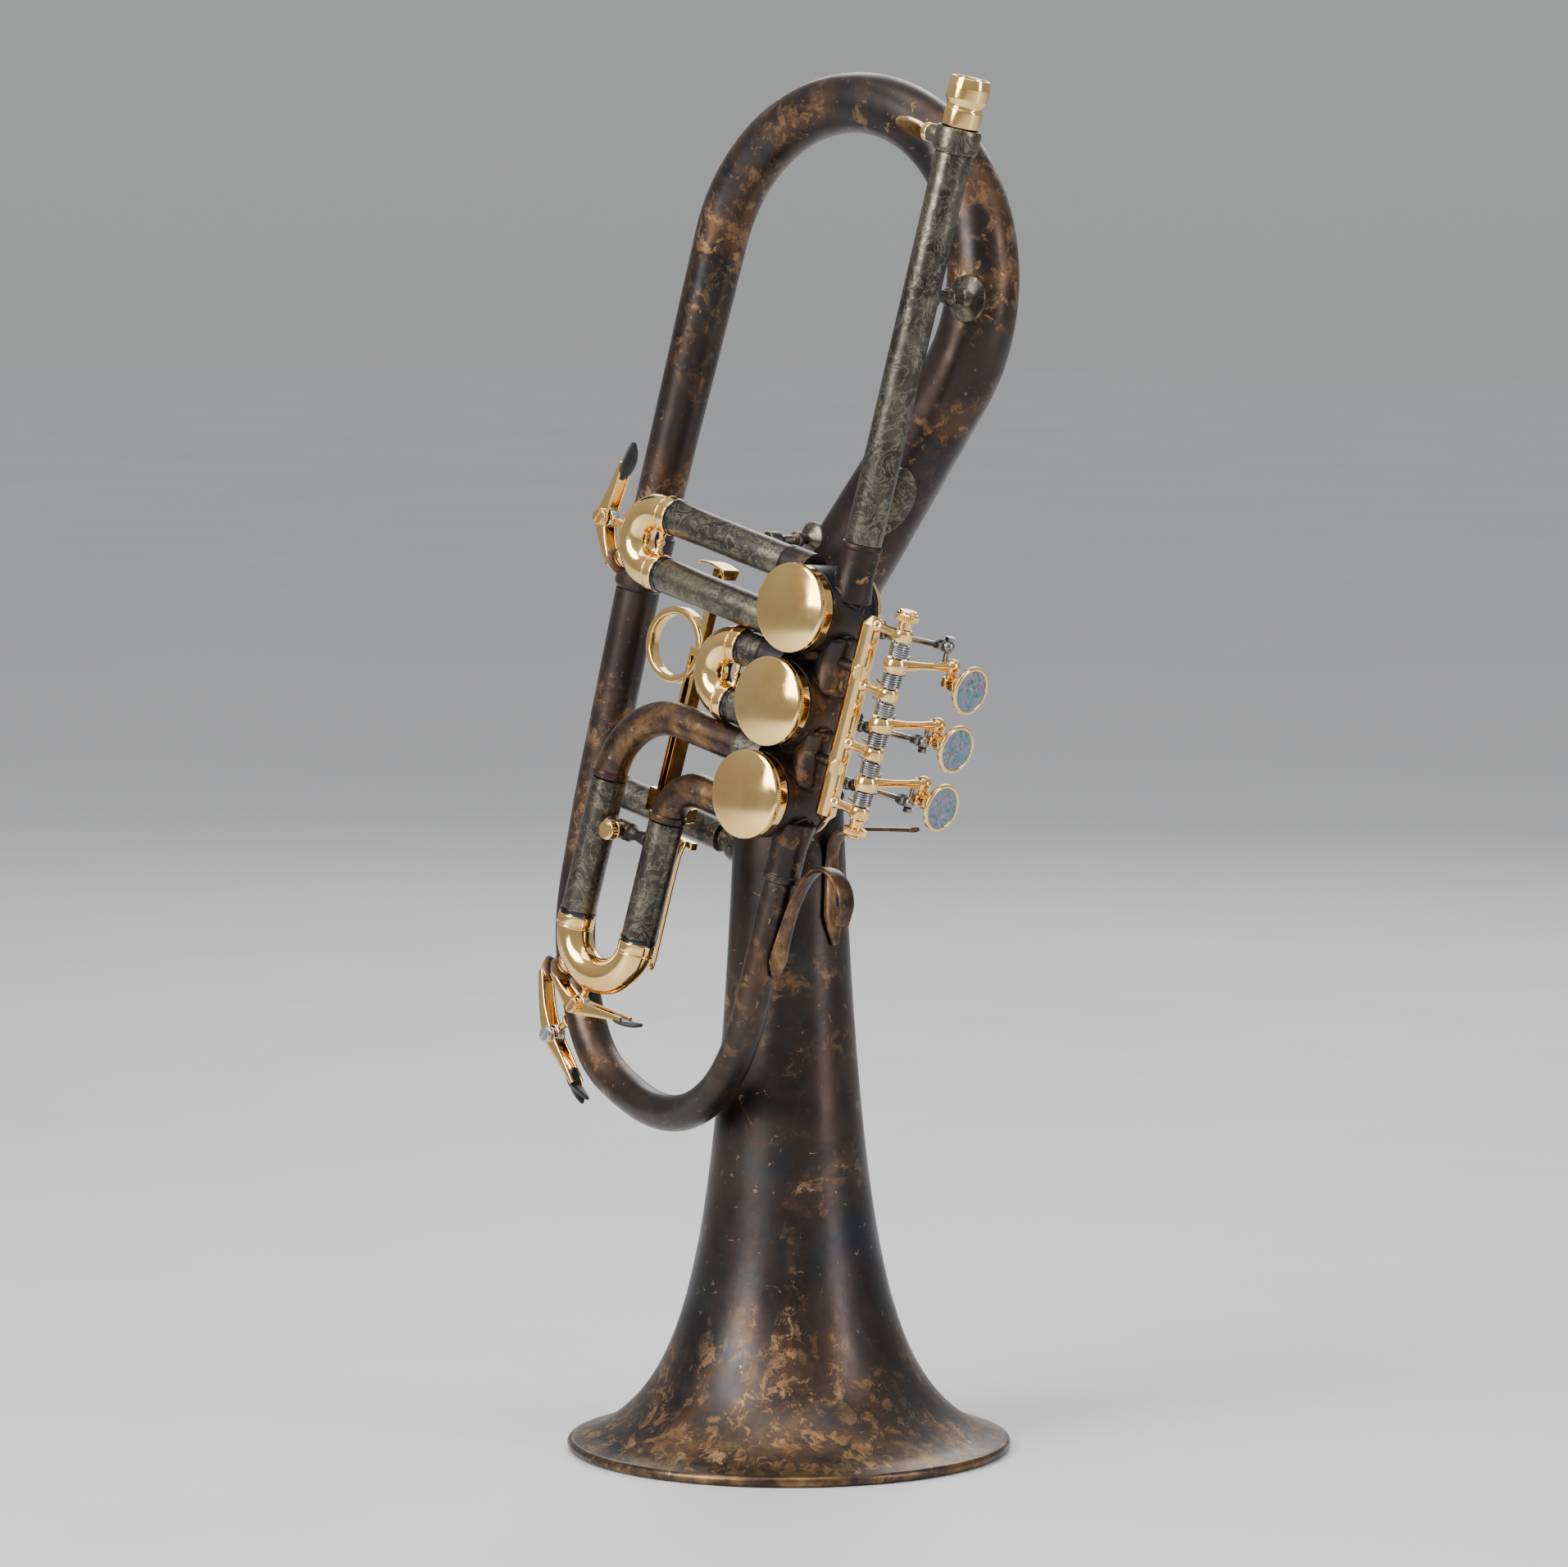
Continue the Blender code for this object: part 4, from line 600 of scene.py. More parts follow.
def make_leather():
    """Dark leather of the key corks."""
    g = Graph("leather")
    colour = g.ramp(g.noise(420.0, 8.0, 0.65), [(0.35, (0.050, 0.022, 0.011)), (0.7, (0.150, 0.072, 0.034))])
    rough = g.span(g.noise(300.0, 4.0), 0.3, 0.7, 0.60, 0.85)
    return g.feed(colour, rough, g.noise(1100.0, 5.0), 0.00012)


def make_shell():
    """Abalone: bands of green, blue, pink and silver under a clear coat, with dark growth lines."""
    g = Graph("shell", metallic=0.35, roughness=0.16)
    g.shader.inputs["Coat Weight"].default_value = 0.5
    g.shader.inputs["Coat Roughness"].default_value = 0.04
    bands = g.ramp(g.noise(150.0, 4.0, 0.55, 2.0), [(0.30, (0.04, 0.05, 0.06)), (0.39, (0.06, 0.24, 0.19)),
                                                    (0.46, (0.10, 0.17, 0.28)), (0.53, (0.28, 0.16, 0.24)),
                                                    (0.60, (0.05, 0.22, 0.21)), (0.70, (0.42, 0.44, 0.43))])
    lines = g.ramp(g.noise(85.0, 4.0, 0.55, 4.0), [(0.470, 0.0), (0.495, 1.0), (0.520, 0.0)])
    colour = g.mix(lines, bands, (0.020, 0.026, 0.034))
    return g.feed(colour)


PATINA = make_patina()
NICKEL = make_nickel()
BRONZE = make_bronze()
GOLD = make_polished("gold", (0.970, 0.660, 0.265), (0.880, 0.520, 0.170), 0.06, 0.15)
STEEL = make_polished("steel", (0.300, 0.300, 0.310), (0.180, 0.178, 0.175), 0.18, 0.34)
DARK = make_polished("dark_steel", (0.045, 0.050, 0.062), (0.022, 0.022, 0.026), 0.20, 0.34)
SILVER = make_polished("silver", (0.640, 0.640, 0.640), (0.460, 0.455, 0.440), 0.16, 0.30)
RUBBER = make_rubber()
LEATHER = make_leather()
SHELL = make_shell()


# ---- bell and bows ---------------------------------------------------------------------------
def bell_radius(height):
    """Outer radius of the bell at a height above the floor."""
    return BELL_FLARE / math.sqrt(height + BELL_FOOT)


def tail_corner():
    """Where the bell's axis meets the straight of the bow's tail, and what follows from it."""
    foot = TO_VALVES @ Vector((0, 0, 0))
    up = (TO_VALVES.to_3x3() @ R_AXIS).normalized()
    lean = math.radians(TAIL_LEAN)
    tail = Vector((math.sin(lean), math.cos(lean), 0.0))
    touch = Vector((BOW_CENTRE.x + BOW_RADIUS * math.cos(lean),
                    BOW_CENTRE.y - BOW_RADIUS * math.sin(lean), BOW_R))
    gap = touch - foot
    height = (gap.x * tail.y - gap.y * tail.x) / (up.x * tail.y - up.y * tail.x)
    corner = foot + up * height
    top = corner + tail * TAIL_TANGENT
    top.z = BOW_R
    return corner, up, tail, top, height - TAIL_TANGENT


CORNER, BELL_UP, TAIL_DIR, TAIL_TOP, BELL_TOP = tail_corner()


def build_bell():
    """Bell flare of thin sheet, with its edge rolled over a wire."""
    ledge = 2 * RIM_WIRE
    steps = 110
    outer = []
    inner = []
    for i in range(steps + 1):
        share = i / steps
        height = BELL_TOP + 0.8 + (ledge + 0.3 - BELL_TOP) * share ** 0.5
        outer.append((bell_radius(height), height))
        inner.append((bell_radius(height) - 0.8, height - 0.45 * share))
    middle = BELL_RIM_R - RIM_WIRE
    lip = [(middle, ledge - 0.1), (middle, ledge - 0.7)]
    flare = turned(outer + lip + inner[::-1], None, 192, hollow=True)
    bead = []
    for i in range(24):
        angle = 2 * math.pi * i / 24
        height = RIM_WIRE + 1.05 * RIM_WIRE * math.sin(angle)
        bead.append((middle + RIM_WIRE * math.cos(angle), max(0.0, height)))
    rim = turned(bead[::-1], None, 192, hollow=True)
    make("bell", "horn", [(flare, PATINA), (rim, BRONZE)], ["bell_flare"], into=WORLD)


def tail_path(count):
    """The bend from the bell's axis to the bow's tail."""
    start = CORNER - BELL_UP * (TAIL_TANGENT + 0.5)
    end = TAIL_TOP + TAIL_DIR * 0.5
    return [start * (1 - t) ** 2 + CORNER * 2 * t * (1 - t) + end * t ** 2
            for t in (i / count for i in range(count + 1))]


def build_bows():
    """Bell tail, main bow and lower bow: tubes whose radius changes along them."""
    count = 48
    radii = spread([bell_radius(BELL_TOP), TAIL_R], count)
    tail = sweep(tail_path(count), radii, oval(72))
    make("bell_tail_tube", "horn", [(tail, PATINA)], ["bell_tail"])

    count = 120
    path = [TAIL_TOP - TAIL_DIR * 0.3]
    path += arc(BOW_CENTRE, BOW_RADIUS, -TAIL_LEAN, 180, count, BOW_R)
    radii = [TAIL_R]
    radii += [9.2 + 3.7 * ((count - i) / count) ** 1.5 for i in range(count + 1)]
    drop = 24
    for i in range(1, drop + 1):
        path.append(Vector((DESCENDING_S, BOW_CENTRE.y + (20.0 - BOW_CENTRE.y) * i / drop, BOW_R)))
        radii.append(9.2 + (7.7 - 9.2) * i / drop)
    smooth = [TAIL_R]
    for i in range(1, len(radii)):
        near = radii[max(0, i - 8):i + 9]
        smooth.append(sum(near) / len(near))
    make("main_bow_tube", "horn", [(sweep(path, smooth, oval(72)), PATINA)], ["main_bow"])

    path = spline(LOWER_BOW, 14)
    radii = spread([7.6, 7.4, 7.2, 6.9, 6.7, 6.4, 6.2, 6.0, 5.8, 5.6, 5.4], len(path) - 1)
    socket = lathe([(7.6, 25.0), (8.6, 24.4), (8.55, 6.4), (7.5, 5.0), (6.0, 5.0), (6.0, 25.0)],
                   at(DESCENDING_S, 0, BOW_R, "V"), 72, 0.5, hollow=True)
    shells = [(sweep(path, radii, oval(56)), PATINA), (socket, PATINA)]
    make("lower_bow_tube", "horn", shells + key_post("main"), ["lower_bow"])


def build_tail_patch():
    """Oval plate soldered on the front of the bow's straight run, behind the leadpipe."""
    turn = math.radians(-TAIL_LEAN)
    run = BOW_CENTRE + Vector((math.cos(turn), math.sin(turn), 0)) * BOW_RADIUS - TAIL_TOP
    side = TAIL_DIR.cross(R_AXIS).normalized()
    out = side.cross(TAIL_DIR).normalized()
    rows = 36
    columns = 16

    def point_at(i, j, layer):
        place = PATCH_LOW + (PATCH_TOP - PATCH_LOW) * i / rows
        share = 2 * j / columns - 1
        half = math.radians(36) * math.sin(math.pi * i / rows) ** 0.55 + 0.001
        angle = math.radians(39) + half * share
        lift = (0.85, -0.6)[layer] * (1.0 - 0.8 * abs(share) ** 6)
        radius = TAIL_R - 1.75 * place / run.length + lift
        return TAIL_TOP + TAIL_DIR * place + (out * math.cos(angle) + side * math.sin(angle)) * radius

    make("tail_patch", "horn", [(curved_plate(rows, columns, point_at), NICKEL)])


# ---- valves ----------------------------------------------------------------------------------
def saddle(v, centre, width, reach):
    """Pointed saddle round a casing: the flare of a tube that meets it from an angle (degrees)."""
    rows = 28
    columns = 12

    def point_at(i, j, layer):
        share = 2 * i / rows - 1
        side = 2 * j / columns - 1
        angle = math.radians(centre + width * share)
        half = reach * (1 - abs(share)) ** 0.62 + 0.02
        radius = CASING_R + (0.75, -0.8)[layer] * (1 - 0.85 * abs(side) ** 5)
        return Vector((radius * math.cos(angle), v + radius * math.sin(angle), half * side))

    return curved_plate(rows, columns, point_at)


def build_valve(number, v):
    """Casing, front cap, rear plate with its stops, rotor and stop lever of one valve."""
    place = at(0, v)
    casing = ring(CASING_R, 12.9, CASING_FRONT - 0.1, CASING_BACK, place, 128, 0.4)
    groove = ring(CASING_R + 0.35, 13.5, CASING_BACK + 2.4, CASING_BACK + 0.2, place, 128, 0.3)
    shells = [(casing, PATINA), (groove, PATINA)]
    if number < 3:
        shells.append((saddle(v, -50, 30, 8.6), PATINA))
    if number > 1:
        shells.append((saddle(v, 50, 30, 8.6), PATINA))
    make("valve_casing_%d" % number, "horn", shells, ["casing_%d" % number])

    rim = 14.6
    face = rim - 0.5
    dome = [(face * i / 24, CAP_FACE + 0.3 + 1.7 * (1 - (i / 24) ** 2)) for i in range(25)]
    edge = [(rim, CAP_FACE - 0.1), (rim, CAP_FACE - 1.9), (rim - 0.45, CAP_FACE - 2.1),
            (rim - 0.35, 11.4), (rim - 0.7, 10.9), (11.0, 10.9), (11.0, 8.6), (0, 8.6)]
    cap = turned(dome + soften(edge, 0.12), place, 260, knurl=0.34,
                 knurled=(CAP_FACE - 1.92, CAP_FACE - 0.15))
    make("cap_%d" % number, "horn", [(cap, GOLD)], ["valve_cap_%d" % number])

    hole = 3.3
    back = CASING_BACK - 0.3
    profile = [(12.6, back + 2.3), (12.6, back), (13.8, back), (13.8, back - 1.6), (11.0, back - 2.6),
               (5.6, back - 3.0), (5.6, back - 7.4), (hole, back - 7.4), (hole, back + 2.3)]
    shells = [(lathe(profile, place, 72, hollow=True), GOLD)]
    side = STOP_SIDE[number - 1]
    angle = math.radians(16)
    for direction in (1, -1):
        post = at(direction * STOP_RADIUS * math.cos(angle), v + side * STOP_RADIUS * math.sin(angle))
        shells.append((rod(1.5, back - 1.0, STOP_BACK, post, 28), RUBBER))
    make("rear_plate_%d" % number, "horn", shells, ["bearing_plate_%d" % number])

    shaft = [(0, 8.2), (12.5, 8.2), (12.5, CASING_BACK + 2.6), (3.0, CASING_BACK + 2.6),
             (3.0, STOP_BACK), (0, STOP_BACK)]
    make("rotor_body_%d" % number, "rotor_%d" % number, [(lathe(shaft, place, 72), BRONZE)],
         ["rotor_%d" % number])
    reach = STOP_RADIUS / math.sqrt(2)
    beam = (at(0, v, (STOP_FRONT + STOP_BACK) / 2) @ Matrix.Rotation(side * math.radians(45), 4, "Z")
            @ at(2.5 + STOP_RADIUS / 2, 0))
    stud = at(reach, v + side * reach)
    shells = [(ring(4.6, 2.9, STOP_FRONT, STOP_BACK, place, 56), GOLD),
              (box((STOP_RADIUS - 2.0, 3.0, 1.9), beam, 0.4), GOLD),
              (rod(1.5, STOP_FRONT - 0.2, STOP_BACK - 0.8, stud, 28), STEEL)]
    shells += [(shell, STEEL) for shell in slotted(2.2, 0.7, 0.6, aim((0, v, STOP_BACK), -R_AXIS))]
    make("stop_lever_%d" % number, "rotor_%d" % number, shells, ["stop_arm_%d" % number])


def build_knuckles():
    """Tubes of the main line between the casings, and at both ends of the row."""
    trunk = at(PORT, 0, 0, "V")
    for upper in (0, 1):
        top = VALVE_V[upper] - 6.0
        bottom = VALVE_V[upper + 1] + 6.0
        profile = [(0, top), (6.6, top), (5.7, top - 6.5), (5.7, bottom + 6.5), (6.6, bottom), (0, bottom)]
        pair = (upper + 1, upper + 2)
        make("knuckle_tube_%d_%d" % pair, "horn", [(lathe(profile, trunk, 64, 2.5, 8), PATINA)],
             ["knuckle_%d_%d" % pair])
    low = VALVE_V[0] + 6.0
    profile = [(0, LEADPIPE_LOW), (6.75, LEADPIPE_LOW), (6.75, LEADPIPE_LOW - 1.6),
               (6.35, LEADPIPE_LOW - 2.0), (6.3, LEADPIPE_LOW - 12.0), (7.4, low), (0, low)]
    shells = [(lathe(profile, trunk, 72, 0.8, 6), PATINA), (saddle(VALVE_V[0], 47, 33, 9.0), PATINA)]
    make("inlet_tube", "horn", shells, ["inlet_knuckle"])
    top = VALVE_V[2] - 6.0
    end = -58.5
    profile = [(0, top), (7.2, top), (6.0, top - 9.0), (6.0, end + 2.6), (6.5, end + 2.2),
               (6.5, end), (0, end)]
    shells = [(lathe(profile, trunk, 72, 0.8, 6), PATINA), (saddle(VALVE_V[2], -47, 33, 9.0), PATINA)]
    make("outlet_tube", "horn", shells, ["outlet_knuckle"])


# ---- leadpipe --------------------------------------------------------------------------------
SWING = (Matrix.Translation((PORT, LEADPIPE_LOW, 0)) @ Matrix.Rotation(math.radians(LEADPIPE_TILT), 4, "Z")
         @ Matrix.Translation((0, -LEADPIPE_LOW, 0)))


def build_leadpipe():
    """Leadpipe, the split collar at its top with its wing screw, and the sliding receiver."""
    line = SWING @ along("V")
    sleeve = ring(6.1, 5.5, LEADPIPE_TOP, LEADPIPE_LOW, line, 72, 0.2)
    make("leadpipe_tube", "horn", [(sleeve, NICKEL)], ["leadpipe_sleeve"])

    middle = (COLLAR_TOP + LEADPIPE_TOP) / 2
    across = SWING @ at(0, middle, 0, "S")
    low = LEADPIPE_TOP + 0.3
    profile = [(7.0, COLLAR_TOP), (7.5, COLLAR_TOP - 1.2), (7.5, LEADPIPE_TOP + 1.6), (6.9, low),
               (6.4, low), (6.4, COLLAR_TOP)]
    collar = lathe(profile, line, 72, 0.4, hollow=True)
    boss = ring(3.2, 1.4, -6.6, -11.0, across, 40)
    make("receiver_collar", "horn", [(collar, NICKEL), (boss, NICKEL)], ["clamp_collar"])

    groove = 202.4
    shoulder = COLLAR_TOP + 0.3
    profile = [(6.2, RECEIVER_TOP), (6.9, RECEIVER_TOP - 2.8), (6.8, groove + 2.2), (5.8, groove + 0.6),
               (5.8, groove - 0.5), (6.3, groove - 1.2), (6.15, shoulder), (5.2, shoulder),
               (5.2, 140.0), (4.6, 140.0), (4.6, 190.0), (5.2, RECEIVER_TOP - 0.6), (5.6, RECEIVER_TOP)]
    make("receiver_tube", "receiver", [(lathe(profile, line, 96, 0.5, 6, hollow=True), GOLD)],
         ["mouthpiece_receiver"])

    stem = lathe([(0, -5.6), (1.3, -5.6), (1.3, -11.3), (3.0, -11.4), (3.0, -13.4), (2.0, -14.4),
                  (0, -14.4)], across, 40, 0.4)
    outline = []
    for i in range(64):
        angle = 2 * math.pi * i / 64
        outline.append((7.6 * math.cos(angle), 4.2 * math.sin(angle)))
    wing = SWING @ at(-19.4, middle) @ Matrix.Rotation(math.radians(50), 4, "X")
    make("clamp_wing", "clamp_screw", [(stem, GOLD), (plate(outline, -0.8, 0.8, wing, 0.45), GOLD)],
         ["thumb_screw"])


# ---- slides ----------------------------------------------------------------------------------
def crook(ends, bend, inside_ends):
    """A gold slide crook: legs that run inside the sleeves, end rings and the bend."""
    first, last = ends
    legs = [sweep([inside_ends[0], first], [LEG_R, LEG_R], oval(48)),
            sweep([last, inside_ends[1]], [LEG_R, LEG_R], oval(48))]
    tube = sweep([first] + bend + [last], [CROOK_R] * (len(bend) + 2), oval(56))
    shells = [(shell, SILVER) for shell in legs] + [(tube, GOLD)]
    for end, inside in ((first, inside_ends[0]), (last, inside_ends[1])):
        place = aim(end, inside - end)
        shells.append((ring(CROOK_R + 0.3, CROOK_R - 0.8, 0.0, -3.4, place, 64, 0.5), GOLD))
        shells.append((ring(CROOK_R + 0.4, CROOK_R - 0.8, -3.6, -4.3, place), GOLD))
    return shells


def spool(half, radius, place):
    """Turned crossbar between a crook's legs, made from its upper half and that half's mirror."""
    upper = [(0, half), (radius * 1.35, half), (radius * 0.8, half * 0.55), (radius * 0.75, half * 0.22),
             (radius * 1.15, half * 0.14)]
    lower = [(reach, -height) for reach, height in reversed(upper)]
    return lathe(upper + lower, place, 40, 0.5, 5)


def build_short_slide(prefix, v, sleeve_end, crook_end, leg_length, extra):
    """Two sleeves on a casing and the crook that slides in them."""
    stub = -18.5
    for side, label in ((1, "upper"), (-1, "lower")):
        place = at(0, v + side * PORT, 0, "S")
        profile = [(SLEEVE_R, stub), (SLEEVE_R, sleeve_end), (SLEEVE_R - 0.5, sleeve_end),
                   (SLEEVE_R - 0.5, stub)]
        sleeve = lathe(profile, place, 64, 0.15, hollow=True)
        ferrule = lathe([(0, -8.0), (6.5, -8.0), (6.35, stub + 1.4), (6.5, stub + 1.2), (6.5, stub - 0.6),
                         (SLEEVE_R, stub - 0.8), (0, stub - 0.8)], place, 64)
        lip = ring(SLEEVE_R + 0.25, SLEEVE_R - 0.3, sleeve_end + 1.4, sleeve_end + 0.05, place)
        make("%s_tube_%s" % (prefix, label), "horn", [(sleeve, NICKEL), (ferrule, PATINA), (lip, DARK)],
             ["%s_sleeve_%s" % (prefix, label)])
    centre = crook_end + CROOK_R + PORT
    ends = [Vector((sleeve_end - 0.3, v + side * PORT, 0)) for side in (1, -1)]
    inside = [Vector((sleeve_end + leg_length, v + side * PORT, 0)) for side in (1, -1)]
    shells = crook(ends, arc((centre, v), PORT, 90, 270, 36), inside)
    shells.append((spool(4.0, 1.3, at(centre + 1.5, v, 0, "V")), GOLD))
    make(prefix + "_crook", prefix + "_slide", shells + extra, [prefix + "_slide_crook"])


def build_third_slide():
    """Elbows, sleeves, lyre post, crook and lyre screw of the third slide."""
    v = VALVE_V[2]
    for label, side, column, top in (("outer", 1, THIRD_OUTER_S, -50.0),
                                     ("inner", -1, THIRD_INNER_S, -56.0)):
        level = v + side * PORT
        bend = level - top - 1.3
        line = at(column, 0, 0, "V")
        path = [Vector((-8.0, level, 0)), Vector((column + bend + 0.1, level, 0))]
        path += arc((column + bend, level - bend), bend, 90, 180, 28)
        path.append(Vector((column, top + 0.2, 0)))
        elbow = sweep(path, [5.8] * len(path), oval(56))
        mouth = ring(6.4, 5.2, top + 2.6, top + 0.3, line)
        root = lathe([(0, -8.0), (6.6, -8.0), (6.45, -17.5), (6.6, -17.7), (6.6, -19.6), (5.8, -19.8),
                      (0, -19.8)], at(0, level, 0, "S"), 64)
        make("elbow_" + label, "horn", [(elbow, BRONZE), (mouth, BRONZE), (root, NICKEL)],
             ["third_elbow_" + label])
        tube = ring(SLEEVE_R + 0.1, SLEEVE_R - 0.4, top - 0.3, THIRD_SLEEVE_END, line, 64, 0.2)
        lip = ring(SLEEVE_R + 0.35, SLEEVE_R - 0.2, THIRD_SLEEVE_END + 1.5, THIRD_SLEEVE_END + 0.05, line)
        shells = [(tube, NICKEL), (lip, DARK)]
        if label == "outer":
            post = lathe([(0, 23.5), (2.6, 23.5), (2.4, 21.6), (1.8, 18.4), (2.4, 16.0), (3.3, 15.3),
                          (3.3, 9.6), (2.4, 8.8), (2.2, 7.4), (3.4, 5.8), (3.6, 4.2), (0, 4.0)],
                         at(column, LYRE_V, 0, "S"), 48, 0.6, 5)
            seat = ring(2.7, 1.3, 5.2, -3.0, at(LYRE_S, LYRE_V), 40)
            shells += [(post, PATINA), (seat, PATINA)]
        make("third_tube_" + label, "horn", shells, ["third_sleeve_" + label])
    half = (THIRD_INNER_S - THIRD_OUTER_S) / 2
    columns = (THIRD_OUTER_S, THIRD_INNER_S)
    ends = [Vector((column, THIRD_SLEEVE_END - 0.3, 0)) for column in columns]
    inside = [Vector((column, -66.0, 0)) for column in columns]
    shells = crook(ends, arc(THIRD_CROOK, half, 180, 360, 48), inside)
    make("third_crook", "third_slide", shells + key_post("third"), ["third_slide_crook"])

    head = at(LYRE_S, LYRE_V)
    knob = lathe([(0, 9.6), (2.9, 9.6), (3.3, 9.2), (3.3, 6.3), (2.2, 5.5), (1.0, 5.5), (1.0, 0.6),
                  (0, 0.6)], head, 72, 0.12, knurl=0.22, knurled=(6.3, 9.2))
    top = head @ at(0, 0, 9.0) @ Matrix.Rotation(math.radians(20), 4, "Z")
    shells = [(knob, GOLD)] + [(shell, GOLD) for shell in slotted(2.8, 1.4, 0.8, top)]
    make("lyre_knob", "lyre_screw", shells, ["lyre_screw"])


# ---- water keys ------------------------------------------------------------------------------
def key_layout(which):
    """Nose, its outward direction, pivot, tip of the key and foot of its post."""
    if which == "first":
        centre = Vector((-94.6 + CROOK_R + PORT, VALVE_V[0], 0))
        angle = math.radians(216)
        outward = Vector((math.cos(angle), math.sin(angle), 0))
        return (centre + outward * (PORT + CROOK_R), outward, joint_place("first_water_key_open"),
                Vector((-100.6, 53.0, 0)), Vector((-94.0, 32.4, 0)))
    if which == "third":
        angle = math.radians(229)
        outward = Vector((math.cos(angle), math.sin(angle), 0))
        return (THIRD_CROOK + outward * (14.8 + CROOK_R), outward, joint_place("third_water_key_open"),
                Vector((-42.5, -125.0, 0)), Vector((-63.0, -120.2, 0)))
    angle = math.radians(211)
    outward = Vector((math.cos(angle), math.sin(angle), 0.3)).normalized()
    pivot = joint_place("main_water_key_open")
    return (Vector((-103.2, -125.6, -36.0)) + outward * 6.4, outward, pivot,
            Vector((-86.0, -163.5, pivot.z)), Vector((-96.6, -145.0, pivot.z)))


def key_post(which):
    """What the tube carries for its key: drain nipple, post and knob."""
    nose, outward, pivot, _, foot = key_layout(which)
    nipple = lathe([(0, 2.6), (3.0, 2.6), (3.0, 1.2), (3.9, 0.2), (3.9, -1.4), (0, -1.4)],
                   aim(nose, outward), 48, 0.4)
    toward = pivot - foot
    post = lathe([(0, toward.length), (1.25, toward.length), (1.3, 1.0), (2.6, 0.2), (2.6, -1.0), (0, -1.0)],
                 aim(foot, toward), 32, 0.5)
    knob = rod(2.3, 1.3, -1.3, Matrix.Translation(pivot), 40)
    return [(nipple, PATINA if which == "main" else GOLD), (post, GOLD), (knob, GOLD)]


def leaf(tip, ahead, long, wide, thick, side):
    """A leaf-shaped finger pad."""
    count = 24
    path = []
    sizes = []
    for i in range(count + 1):
        t = i / count
        swell = max(0.06, math.sin(math.pi * (0.04 + 0.92 * t)) ** 0.6) * (1.08 - 0.35 * t)
        path.append(tip + ahead * long * (t - 0.5) + ahead.cross(side) * 1.0 * math.sin(math.pi * t))
        sizes.append((wide * swell, thick * min(1.0, 0.35 + swell)))
    return sweep(path, sizes, oval(32, 2.4), side)


def build_key(which):
    """A water key: cap and leather, two cheeks with their web, pivot screw, finger pads, spring."""
    nose, outward, pivot, tip, _ = key_layout(which)
    seat = nose + outward * 2.9
    cap = lathe([(0, 3.4), (2.4, 3.4), (3.5, 2.4), (3.5, 0.9), (0, 0.9)], aim(seat, outward), 56, 0.5, 5)
    pad = lathe([(0, 1.9), (3.6, 1.9), (4.5, 1.1), (4.5, 0.6), (3.8, -0.1), (0, -0.1)],
                aim(seat, outward), 56, 0.6, 6)
    shells = [(cap, GOLD), (pad, LEATHER)]

    start = seat + outward * 2.9
    convex = (pivot - (start + tip) / 2).normalized()
    bend = pivot + convex * 0.8
    knots = [start, start * 0.45 + bend * 0.55 + outward * 0.9, bend, bend * 0.45 + tip * 0.55, tip]
    path = spline(knots, 8)
    heights = spread([1.0, 1.6, 2.6, 1.5, 0.8], len(path) - 1)
    for sign in (1, -1):
        cheek = [point + R_AXIS * (2.45 * sign) for point in path]
        shells.append((sweep(cheek, [(0.55, height) for height in heights], oval(24, 4.0), R_AXIS), GOLD))
    web = [point + convex * height * 0.8 for point, height in zip(path, heights)]
    shells.append((sweep(web, [(2.5, 0.5)] * len(web), oval(24, 5.0), R_AXIS), GOLD))

    head = Matrix.Translation(pivot + R_AXIS * 2.9)
    screw = lathe([(0, 1.8), (2.8, 1.8), (2.8, 0), (1.05, 0), (1.05, -5.6), (0, -5.6)], head, 56, 0.15,
                  knurl=0.2, knurled=(0.1, 1.7))
    top = head @ at(0, 0, 1.6) @ Matrix.Rotation(math.radians(65), 4, "Z")
    metal = SILVER if which == "main" else GOLD
    shells += [(shell, metal) for shell in [screw] + slotted(2.4, 0.9, 0.6, top)]
    ahead = (tip - pivot).normalized()
    if which == "main":
        for turn in (-13, 13):
            lobe = Matrix.Rotation(math.radians(turn), 3, "Z") @ ahead
            shells.append((leaf(tip + ahead * 1.0, lobe, 13.0, 3.0, 1.0, R_AXIS), RUBBER))
    else:
        shells.append((leaf(tip + ahead * 0.6, ahead, 13.5, 3.7, 1.0, R_AXIS), RUBBER))

    wire = []
    for i in range(5 * 16 + 1):
        angle = 2 * math.pi * i / 16
        wire.append(pivot + Vector((3.1 * math.cos(angle), 3.1 * math.sin(angle), -1.7 + 3.4 * i / 80)))
    shells.append((sweep(wire, [0.35] * len(wire), oval(10)), SILVER))
    make("drain_key_" + which, which + "_water_key", shells, ["water_key_" + which])


